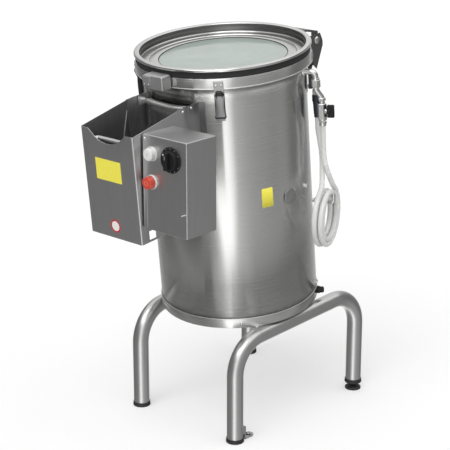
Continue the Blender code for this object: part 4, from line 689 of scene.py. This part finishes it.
def chute():
    """The U-shaped sheet with its hand dip, grip, slot, bolts and two labels."""
    wide, front = CHUTE_HALF, CHUTE_FRONT
    side = [(wide, y) for y in (CHUTE_REAR, -0.225, -0.260, -0.300, -0.333, -0.353)]
    side += arc((wide - CHUTE_BEND, front + CHUTE_BEND), CHUTE_BEND, 0, -math.pi / 2, 8)
    across = [DIP_HALF * (1 - 2 * step / DIP_STEPS) for step in range(DIP_STEPS + 1)]
    plan = [(x, y, side_top(y)) for x, y in side] + [(x, front, front_top(x)) for x in across]
    plan += [(-x, y, side_top(y)) for x, y in reversed(side)]
    form = bmesh.new()
    columns = []
    for x, y, top in plan:
        heights = [0.280, SLOT_LOW] + [SLOT_TOP + (top - SLOT_TOP) * row / 4 for row in range(5)]
        columns.append([form.verts.new((x, y, h)) for h in heights])
    sheet_faces(form, columns, left_out=[(4, 1)])
    piece = shape("chute_sheet", form, sheet_steel, replaces=["chute"], place=DRUM, sharp=50)
    # The chute's inside takes the darker copy of its steel: painted shade
    thicken(piece, CHUTE_SHEET, chute_painted_shade)
    round_edges(piece, 0.0003, 60)

    form = bmesh.new()
    inner = -wide + CHUTE_SHEET + 0.0006
    sweep(form, [(inner, -0.234, 0.5360), (inner, -0.262, 0.4400)], 0.0010, 12)
    shape("chute_inner_edge", form, satin_steel, place=DRUM, sharp=50)

    form = bmesh.new()
    half = [(-0.045, front + CHUTE_SHEET)] + arc((-0.038, -0.369), 0.007, math.pi, math.pi / 2, 6)
    path = [(x, y, GRIP_HEIGHT) for x, y in half] + [(-x, y, GRIP_HEIGHT) for x, y in reversed(half)]
    sweep(form, path, 0.006, 20)
    shape("chute_grip_bar", form, sheet_steel, place=DRUM, sharp=50)

    form = bmesh.new()
    for sign in (-1, 1):
        outward = TO_OUT if sign > 0 else TO_OUT @ Matrix.Rotation(math.pi, 4, "X")
        for y, h in ((-0.222, 0.5340), (GATE_Y, GATE_H)):
            dome(form, 0.0034, 0.0022, at(sign * CHUTE_HALF, y, h) @ outward, 0.0006)
    shape("chute_bolts", form, bright_steel, place=DRUM)

    boxed("chute_label", (-0.0417, front - 0.0003, 0.411), (0.0342, front, 0.459), label_yellow,
          place=DRUM, bevel=0.0001)
    spot = at(0.001, front, 0.3086) @ TO_FRONT
    form = bmesh.new()
    ring(form, SIGN_INNER, 0.0150, 0, 0.0003, 40, spot)
    shape("round_label_edge", form, sign_red, place=DRUM)
    form = bmesh.new()
    disc(form, SIGN_INNER, 0.0002, 0, 40, spot)
    shape("round_label", form, mark_white, place=DRUM)


LABEL_STEPS = 24


def drum_label():
    """A yellow patch with rounded corners, bent to the drum."""
    form = bmesh.new()
    radius = DRUM_RADIUS + 0.0003
    low, high, corner = 0.285, 0.330, 0.003
    first, last = math.radians(-27), math.radians(-18.5)
    columns = []
    for index in range(LABEL_STEPS + 1):
        turn = first + (last - first) * index / LABEL_STEPS
        edge = radius * min(turn - first, last - turn)
        inset = corner - math.sqrt(max(0.0, corner ** 2 - max(0.0, corner - edge) ** 2))
        columns.append([form.verts.new((radius * math.cos(turn), radius * math.sin(turn), h))
                        for h in (low + inset, (low + high) / 2, high - inset)])
    sheet_faces(form, columns)
    thicken(shape("drum_label", form, label_yellow, place=DRUM), 0.0002)


# Control box with its buttons and timer

def control_box():
    dress("box_bracket", worn_steel, 0.0004)
    boxed("box_cover", BOX_LOW, BOX_HIGH, sheet_steel, replaces=["control_box"], bevel=0.0022, segments=4)
    left, face = BOX_LOW.x, BOX_LOW.y
    boxed("box_flange", (left + 0.0004, face - 0.0008, 0.5560), (left + 0.0105, face + 0.0005, 0.7560),
          sheet_steel, bevel=0.0004)
    form = bmesh.new()
    dome(form, 0.0034, 0.0016, at(left + 0.0055, face - 0.0008, 0.7485) @ TO_FRONT, 0.0004)
    lathe(form, [(0, 0.0100), (0.0013, 0.0098), (0.0016, 0.0092), (0.0016, 0), (0, 0)], 14,
          at(0.1815, face, 0.604) @ TO_FRONT)
    shape("box_screw_and_pin", form, bright_steel)


def button(name, place, stand, cap, slot, mark, mark_material):
    here = at(place[0], BOX_LOW.y, place[1]) @ TO_FRONT
    profile = [(0.0138, GAP), (0.0156, GAP), (0.0156, 0.0030), (0.0152, 0.0042), (0.0147, 0.0045),
               (0.0141, 0.0043), (0.0138, 0.0037)]
    turned(name + "_ring", profile, 40, white_plastic, closed=True, slot="white_plastic",
           replaces=[name + "_bezel"], place=here, sharp=50)
    profile = [(0, stand), (0.0090, stand - 0.0001), (0.0118, stand - 0.0006), (0.0130, stand - 0.0016),
               (0.0134, stand - 0.0032), (0.0134, -0.0040), (0, -0.0040)]
    turned(name + "_cap", profile, 40, cap, name, slot, [name + "_button"], here, sharp=50)
    form = bmesh.new()
    if mark == "bar":
        block(form, (-0.0007, -0.0042, stand - 0.0002), (0.0007, 0.0042, stand + 0.0001))
    else:
        ring(form, 0.0039, 0.0052, stand + 0.0001, stand - 0.0002, 32)
    shape(name + "_mark", form, mark_material, name, slot, place=here)


TIMER_MARKS, KNOB_RIBS = 11, 36


def timer():
    here = at(TIMER[0], BOX_LOW.y, TIMER[1]) @ TO_FRONT
    profile = [(0, 0.0025), (0.0267, 0.0025), (0.0274, 0.0021), (0.0277, 0.0014), (0.0277, GAP), (0, GAP)]
    turned("timer_plate", profile, 64, black_plastic, slot="black_plastic", replaces=["timer_dial"],
           place=here)
    form = bmesh.new()
    for index in range(TIMER_MARKS):
        turn = Matrix.Rotation(math.radians(30 * index - 60), 4, "Z")
        block(form, (-0.0004, 0.0238, 0.0024), (0.0004, 0.0264, 0.0027), turn)
    shape("timer_scale", form, mark_grey, slot="white_plastic", place=here)
    form = bmesh.new()
    lathe(form, [(0, 0.0098), (0.0192, 0.0098), (0.0203, 0.0094), (0.0209, 0.0085), (0.0222, 0.0040),
                 (0.0225, 0.0028), (0, 0.0028)], 64)
    for index in range(KNOB_RIBS):
        turn = Matrix.Rotation(math.tau * index / KNOB_RIBS, 4, "Z")
        block(form, (0.0205, -0.0006, 0.0034), (0.0222, 0.0006, 0.0082), turn)
    shape("timer_disc", form, black_plastic, "timer", "black_plastic", ["timer_knob"], here, sharp=40)
    boxed("timer_handle", (-0.0048, -0.0190, 0.0060), (0.0048, 0.0190, 0.0198), black_plastic, "timer",
          "black_plastic", place=here, bevel=0.0020, segments=4)
    form = bmesh.new()
    dome(form, 0.0017, 0.0005, at(-0.0035, 0.0150, 0.0198))
    block(form, (-0.0003, 0.0040, 0.0197), (0.0003, 0.0120, 0.0199))
    shape("timer_pointer", form, mark_white, "timer", "black_plastic", place=here)


# Water inlet, valve and hook

COLUMN_OUT, INLET_HEIGHT = 0.2125, 0.559
VALVE_MIDDLE, STEM_REACH = 0.468, 0.01145


def inlet():
    form = bmesh.new()
    path = [(0.1853, INLET_HEIGHT)] + arc((0.2015, 0.5480), 0.011, math.pi / 2, 0, 8)
    path += [(COLUMN_OUT, 0.5185), (0.2135, 0.5150), (0.2235, 0.5015), (VALVE_OUT, 0.4985),
             (VALVE_OUT, 0.4868)]
    sweep(form, [(out, 0, h) for out, h in path], 0.0065, 24)
    lathe(form, [(0, 0.0030), (0.0094, 0.0030), (0.0102, 0.0020), (0.0102, 0), (0, 0)], 24,
          at(DRUM_RADIUS + GAP, 0, INLET_HEIGHT) @ TO_OUT)
    shape("inlet_pipe", form, bright_steel, replaces=["inlet_elbow"], place=INLET, sharp=50)
    form = bmesh.new()
    column = at(COLUMN_OUT, 0, 0)
    hexagon(form, 0.0105, 0.5240, 0.5410, column)
    lathe(form, [(0, 0.5450), (0.0082, 0.5450), (0.0086, 0.5444), (0.0086, 0.5410), (0, 0.5410)], 24, column)
    disc(form, 0.0080, 0.5240, 0.5215, 24, column)
    hexagon(form, 0.0092, 0.4925, 0.5000, at(VALVE_OUT, 0, 0))
    shape("inlet_nuts", form, bright_steel, place=INLET)
    form = bmesh.new()
    arm = [(COLUMN_OUT, 0, 0.519)]
    arm += [(PARK_OUT, PARK_SIDE + side, h) for side, h in ((-0.0055, 0.519), (-0.0015, 0.5175),
                                                            (0, 0.5135), (0, 0.4866))]
    sweep(form, arm, 0.0055, 20)
    hexagon(form, 0.0092, 0.4990, 0.5100, at(PARK_OUT, PARK_SIDE, 0))
    shape("parking_branch", form, worn_steel, place=INLET, sharp=40)


def valve():
    centre = at(VALVE_OUT, 0, 0)
    form = bmesh.new()
    hexagon(form, 0.0105, 0.4490, 0.4865, centre, 0.0010)
    lathe(form, [(0, 0.4510), (0.0095, 0.4510), (0.0095, 0.4476), (0.0090, 0.4470), (0, 0.4470)], 28, centre)
    stem = at(VALVE_OUT, 0, VALVE_MIDDLE) @ TO_OUT
    disc(form, 0.0040, STEM_REACH - GAP, 0, 20, stem)
    lathe(form, [(0, 0.0100), (0.0064, 0.0100), (0.0068, 0.0096), (0.0068, 0.0060), (0, 0.0060)], 20, stem)
    shape("valve_hexagon", form, bright_steel, replaces=["valve_body"], place=INLET)
    here = INLET @ at(VALVE_OUT + STEM_REACH, 0, VALVE_MIDDLE)
    boxed("valve_grip", (0, -0.0045, -0.0145), (0.0160, 0.0045, 0.0145), black_plastic, "valve",
          "black_plastic", ["valve_handle"], here, bevel=0.0020, segments=4)
    profile = [(0, 0.0080), (0.0060, 0.0080), (0.0065, 0.0074), (0.0065, 0), (0, 0)]
    turned("valve_hub", profile, 20, black_plastic, "valve", "black_plastic", spot=TO_OUT, place=here)


HOOK_RADIUS, HOOK_BEND, HOOK_REACH = 0.004, 0.006, 0.0345


def hook():
    """The rod that carries the coil, with its nut at the drum."""
    up = COIL_INNER - HOSE_RADIUS - HOOK_RADIUS - GAP
    out = COIL_STEP / 2 + HOSE_RADIUS + HOOK_RADIUS + 2 * GAP
    path = [(-HOOK_REACH, up)] + arc((out - HOOK_BEND, up + HOOK_BEND), HOOK_BEND, -math.pi / 2, 0, 6)
    path += [(out, up + 0.020)]
    form = bmesh.new()
    sweep(form, [on_coil(along, 0, rise) for along, rise in path], HOOK_RADIUS, 16)
    shape("coil_hook", form, bright_steel, replaces=["hose_hook"], sharp=50)
    turn = Matrix.Rotation(COIL_TURN, 4, "Z") @ TO_OUT
    form = bmesh.new()
    hexagon(form, 0.0072, 0, 0.0050, Matrix.Translation(on_coil(0.0055 - HOOK_REACH, 0, up)) @ turn)
    shape("hook_nut", form, bright_steel)


def side_fittings():
    profile = [(0, 0.0024), (0.0150, 0.0025), (0.0172, 0.0021), (0.0182, 0.0012), (0.0185, 0), (0, 0)]
    turned("shell_button", profile, 40, worn_steel, slot="dark_plastic", replaces=["shell_plug"],
           place=about(math.radians(-3.5)) @ at(DRUM_RADIUS + GAP, 0, 0.294) @ TO_OUT)
    form = bmesh.new()
    hexagon(form, 0.0100, 0, 0.0060)
    profile = [(0, 0.0060), (0.0040, 0.0060), (0.0040, 0.0152), (0.0052, 0.0160), (0.0066, 0.0152),
               (0.0075, 0.0130), (0.0075, 0.0060), (0, 0.0060)]
    lathe(form, profile, 24)
    shape("gland_body", form, black_plastic, slot="black_plastic", replaces=["cable_gland"],
          place=about(math.radians(33)) @ at(BAND_OUT + GAP, 0, 0.0114) @ TO_OUT)
    form = bmesh.new()
    for turn, h in ((32, 0.034), (17, 0.296)):
        place = Matrix.Rotation(math.radians(turn), 4, "Z") @ at(DRUM_RADIUS, 0, h) @ TO_OUT
        disc(form, 0.0060, 0.0012, 0, 20, place)
        hexagon(form, 0.0045, 0.0010, 0.0048, place, 0.0004)
    place = Matrix.Rotation(math.radians(-47.3), 4, "Z") @ at(BAND_OUT, 0, 0.010) @ TO_OUT
    dome(form, 0.0036, 0.0012, place, 0.0004)
    shape("drum_bolts", form, bright_steel, place=DRUM)


# Legs and feet

RUN_RISE = math.radians(3.45)
LEG_BEND, LEG_RADIUS = 0.080, 0.019
LEG_MIDDLE, LEG_OUT, LEG_FRONT, LEG_SEAT = 0.002, 0.151, 0.1895, 0.110
LEG_SPLAY, LEG_RUN = 0.021, 0.4195
LEG_SPAN = math.hypot(LEG_SPLAY, LEG_RUN)
LEG_TOE = math.atan2(LEG_SPLAY, LEG_RUN)
TUBE_START, LEVEL_SEAT = 0.0033, 0.0175
LUG_LOW, LUG_TOP, LUG_HALF, LUG_END = 0.0008, 0.033, 0.011, 0.0452


def leg_route(rear_foot):
    slope = math.tan(RUN_RISE)
    seat = DRUM_PLACE.z - LEG_SEAT * math.tan(DRUM_LEAN) - GAP - LEG_RADIUS / math.cos(RUN_RISE)
    start = seat + (LEG_SEAT - LEG_FRONT) * slope
    inset = LEG_BEND * (1 - math.sin(RUN_RISE))
    drop = LEG_BEND * math.cos(RUN_RISE)
    last = LEG_SPAN - LEG_BEND - LEG_BEND * math.sin(RUN_RISE)
    turn = math.pi / 2 + RUN_RISE
    front = arc((LEG_BEND, start + slope * inset - drop), LEG_BEND, math.pi, turn, 20)
    rear = arc((LEG_SPAN - LEG_BEND, start + slope * last - drop), LEG_BEND, turn, 0, 20)
    return [(0, y, z) for y, z in [(0, TUBE_START)] + front + rear + [(LEG_SPAN, rear_foot)]]


CAP_PROFILE = [(0.0193, 0.003), (0.0193, 0.0100), (0.0199, 0.0100), (0.0204, 0.0095), (0.0205, 0.0087),
               (0.0203, 0.0070), (0.0206, 0.0056), (0.0209, 0.0040), (0.0209, 0.0012), (0.0200, 0)]


def legs():
    for side, sign in (("left", -1), ("right", 1)):
        corner = STAND @ at(LEG_MIDDLE + sign * LEG_OUT, -LEG_FRONT, 0)
        place = corner @ Matrix.Rotation(-sign * LEG_TOE, 4, "Z")
        seat = LEVEL_SEAT if sign > 0 else 0.0
        form = bmesh.new()
        sweep(form, leg_route(seat + TUBE_START), LEG_RADIUS, 40)
        shape("leg_tube_" + side, form, tube_steel, replaces=["leg_frame_" + side], place=place, sharp=50)
        for end, y, low in (("front", 0, 0.0), ("rear", LEG_SPAN, seat)):
            hole = 0.0043 if low else 0.0
            turned("cap_%s_%s" % (end, side), [(hole, 0.003)] + CAP_PROFILE + [(hole, 0)], 40, rubber,
                   spot=at(0, y, low), closed=low > 0, slot="rubber",
                   replaces=["foot_cap_%s_%s" % (end, side)], place=place, sharp=50)
        if sign < 0:
            continue
        form = bmesh.new()
        block(form, (-LUG_HALF, 0.0212, LUG_LOW), (LUG_HALF, LUG_END, 0.004))
        block(form, (-LUG_HALF, 0.0212, LUG_LOW), (LUG_HALF, 0.0252, LUG_TOP))
        block(form, (-LUG_HALF, 0.0150, 0.0143), (LUG_HALF, 0.0232, LUG_TOP))
        ring(form, 0.004, LUG_HALF, 0.004, LUG_LOW, 32, at(0, LUG_END, 0))
        shape("floor_lug", form, sheet_steel, place=place, bevel=0.0006)
        profile = [(0, 0.050), (0.0036, 0.050), (0.0040, 0.0494), (0.0040, 0.0100), (0.0085, 0.0085),
                   (0.0140, 0.0070), (0.0188, 0.0050), (0.0195, 0.0036), (0.0195, 0.0008), (0.0187, 0),
                   (0, 0)]
        turned("levelling_pad", profile, 40, rubber, "levelling", "rubber", ["levelling_foot"], place,
               spot=at(0, LEG_SPAN, 0), sharp=50)


# Drive and chamber

def abrasive_disc():
    profile = [(0, 0.347), (0.1692, 0.347), (0.1700, 0.3462), (0.1700, 0.337), (0.028, 0.337),
               (0.028, 0.3265), (0.0128, 0.3265), (0.0128, 0.342), (0, 0.342)]
    turned("disc_plate", profile, 96, disc_grit, "disc", "abrasive", ["abrasive_disc"], DRUM)
    form = bmesh.new()
    for index in range(3):
        turn = Matrix.Rotation(math.tau * index / 3, 4, "Z")
        block(form, (0.020, -0.009, 0.342), (0.162, 0.009, 0.356), turn)
    shape("disc_ridges", form, disc_grit, "disc", "abrasive", place=DRUM, bevel=0.005, segments=4)


drum_pieces()
lid_pieces()
hinge()
interlock()
for number, azimuth in enumerate(LATCH_AZIMUTHS, 1):
    latch(number, azimuth)
gate()
chute()
drum_label()
control_box()
button("start", START, 0.015, white_plastic, "white_plastic", "bar", mark_grey)
button("stop", STOP, 0.018, red_plastic, "red_plastic", "ring", mark_red)
timer()
inlet()
valve()
hook()
side_fittings()
legs()
abrasive_disc()
for name, material, edge in (("base_plate", worn_steel, 0), ("chamber_floor", worn_steel, 0),
                             ("drain_pipe", pipe_grey, 0), ("spindle", bright_steel, 0),
                             ("bearing_housing", cast_grey, 0.0008), ("driven_pulley", aluminium, 0.0005),
                             ("motor_pulley", aluminium, 0.0005), ("motor", motor_paint, 0.001),
                             ("drive_belt", rubber, 0)):
    dress(name, material, edge)


# Floor, background and light

FLOOR_HALF = 40
PAPER, PAPER_GLOW, AMBIENT = 0.64, 0.37, 0.62

floor_mesh = bpy.data.meshes.new("floor")
corners = [(x * FLOOR_HALF, y * FLOOR_HALF, 0) for x, y in ((-1, -1), (1, -1), (1, 1), (-1, 1))]
floor_mesh.from_pydata(corners, [], [(0, 1, 2, 3)])
floor = put("floor", floor_mesh)
floor.visible_glossy = False

paper = bpy.data.materials.new("floor_paper")
paper.use_nodes = True
tree = paper.node_tree
shader = tree.nodes["Principled BSDF"]
fill(shader, Base_Color=(PAPER, PAPER, PAPER, 1), Roughness=0.9, Specular_IOR_Level=0.0)
seen = node(tree, "ShaderNodeLightPath")
glow = node(tree, "ShaderNodeEmission")
both = node(tree, "ShaderNodeAddShader")
reach = node(tree, "ShaderNodeMath", operation="MULTIPLY")
reach.inputs[1].default_value = PAPER_GLOW
join(tree, (seen.outputs["Is Camera Ray"], reach.inputs[0]), (reach.outputs[0], glow.inputs["Strength"]),
     (shader.outputs[0], both.inputs[0]), (glow.outputs[0], both.inputs[1]),
     (both.outputs[0], tree.nodes["Material Output"].inputs["Surface"]))
floor_mesh.materials.append(paper)

world = bpy.data.worlds.new("studio")
bpy.context.scene.world = world
world.use_nodes = True
tree = world.node_tree
ambient = tree.nodes["Background"]
fill(ambient, Color=(1, 1, 1, 1), Strength=AMBIENT)
white = node(tree, "ShaderNodeBackground")
fill(white, Color=(1, 1, 1, 1), Strength=1.0)
path = node(tree, "ShaderNodeLightPath")
either = node(tree, "ShaderNodeMath", operation="MAXIMUM")
any_ray = node(tree, "ShaderNodeMath", operation="MAXIMUM")
choose = node(tree, "ShaderNodeMixShader")
join(tree, (path.outputs["Is Camera Ray"], either.inputs[0]),
     (path.outputs["Is Glossy Ray"], either.inputs[1]),
     (either.outputs[0], any_ray.inputs[0]), (path.outputs["Is Transmission Ray"], any_ray.inputs[1]),
     (any_ray.outputs[0], choose.inputs["Fac"]), (ambient.outputs[0], choose.inputs[1]),
     (white.outputs[0], choose.inputs[2]), (choose.outputs[0], tree.nodes["World Output"].inputs["Surface"]))

# A ring of grey card and light strips round the set, which only reflections show: azimuth and level
CARDS = [(-180, 0.14), (-150, 0.12), (-138, 0.18), (-119, 0.14), (-102, 0.14), (-84, 0.22), (-73, 0.44),
         (-68, 0.98), (-48, 0.94), (-42, 0.72), (-37, 0.38), (-12, 0.27), (20, 0.21), (39, 0.24),
         (49, 0.14), (62, 0.13), (91, 0.20), (120, 0.60), (136, 0.60), (160, 0.22), (180, 0.14)]
CARD_LIGHT, CARD_LIGHT_LOW, CARD_FADE = 1.40, 2.05, -3.0
RING_RADIUS, RING_LOW, RING_TOP, RING_STEPS = 4, -14, 3.2, 72

ring_mesh = bpy.data.meshes.new("studio_cards")
form = bmesh.new()
turns = [math.tau * k / RING_STEPS for k in range(RING_STEPS)]
corners = [[form.verts.new((RING_RADIUS * math.cos(turn), RING_RADIUS * math.sin(turn), h))
            for h in (RING_LOW, RING_TOP)] for turn in turns]
sheet_faces(form, corners + corners[:1])
form.to_mesh(ring_mesh)
form.free()
cards = put("studio_cards", ring_mesh)
cards.visible_camera = cards.visible_diffuse = False
cards.visible_transmission = cards.visible_shadow = False
card = bpy.data.materials.new("card")
card.use_nodes = True
tree = card.node_tree
tree.nodes.remove(tree.nodes["Principled BSDF"])
spot = node(tree, "ShaderNodeTexCoord")
radial = node(tree, "ShaderNodeTexGradient", gradient_type="RADIAL")
ramp = node(tree, "ShaderNodeValToRGB")
glow = node(tree, "ShaderNodeEmission")
split = node(tree, "ShaderNodeSeparateXYZ")
lower = node(tree, "ShaderNodeMapRange")
for socket, value in zip(lower.inputs[1:5], (CARD_FADE, 0.0, CARD_LIGHT_LOW, CARD_LIGHT)):
    socket.default_value = value
while len(ramp.color_ramp.elements) > 1:
    ramp.color_ramp.elements.remove(ramp.color_ramp.elements[-1])
ramp.color_ramp.elements[0].position = 0
ramp.color_ramp.elements[0].color = (CARDS[0][1],) * 3 + (1,)
for turn, value in CARDS[1:]:
    stop = ramp.color_ramp.elements.new((turn + 180) / 360)
    stop.color = (value, value, value, 1)
join(tree, (spot.outputs["Object"], split.inputs[0]), (split.outputs["Z"], lower.inputs["Value"]),
     (lower.outputs["Result"], glow.inputs["Strength"]), (spot.outputs["Object"], radial.inputs["Vector"]),
     (radial.outputs["Fac"], ramp.inputs["Fac"]), (ramp.outputs["Color"], glow.inputs["Color"]),
     (glow.outputs[0], tree.nodes["Material Output"].inputs["Surface"]))
ring_mesh.materials.append(card)


def sun(name, energy, spread, azimuth, elevation):
    lamp = put(name, bpy.data.lights.new(name, "SUN"))
    lamp.data.energy = energy
    lamp.data.angle = math.radians(spread)
    azimuth, elevation = math.radians(azimuth), math.radians(elevation)
    back = Vector((math.cos(azimuth) * math.cos(elevation), math.sin(azimuth) * math.cos(elevation),
                   math.sin(elevation)))
    lamp.rotation_euler = back.to_track_quat("Z", "Y").to_euler()


sun("key", 1.4, 50, -75, 52)
sun("fill", 0.35, 70, 30, 40)
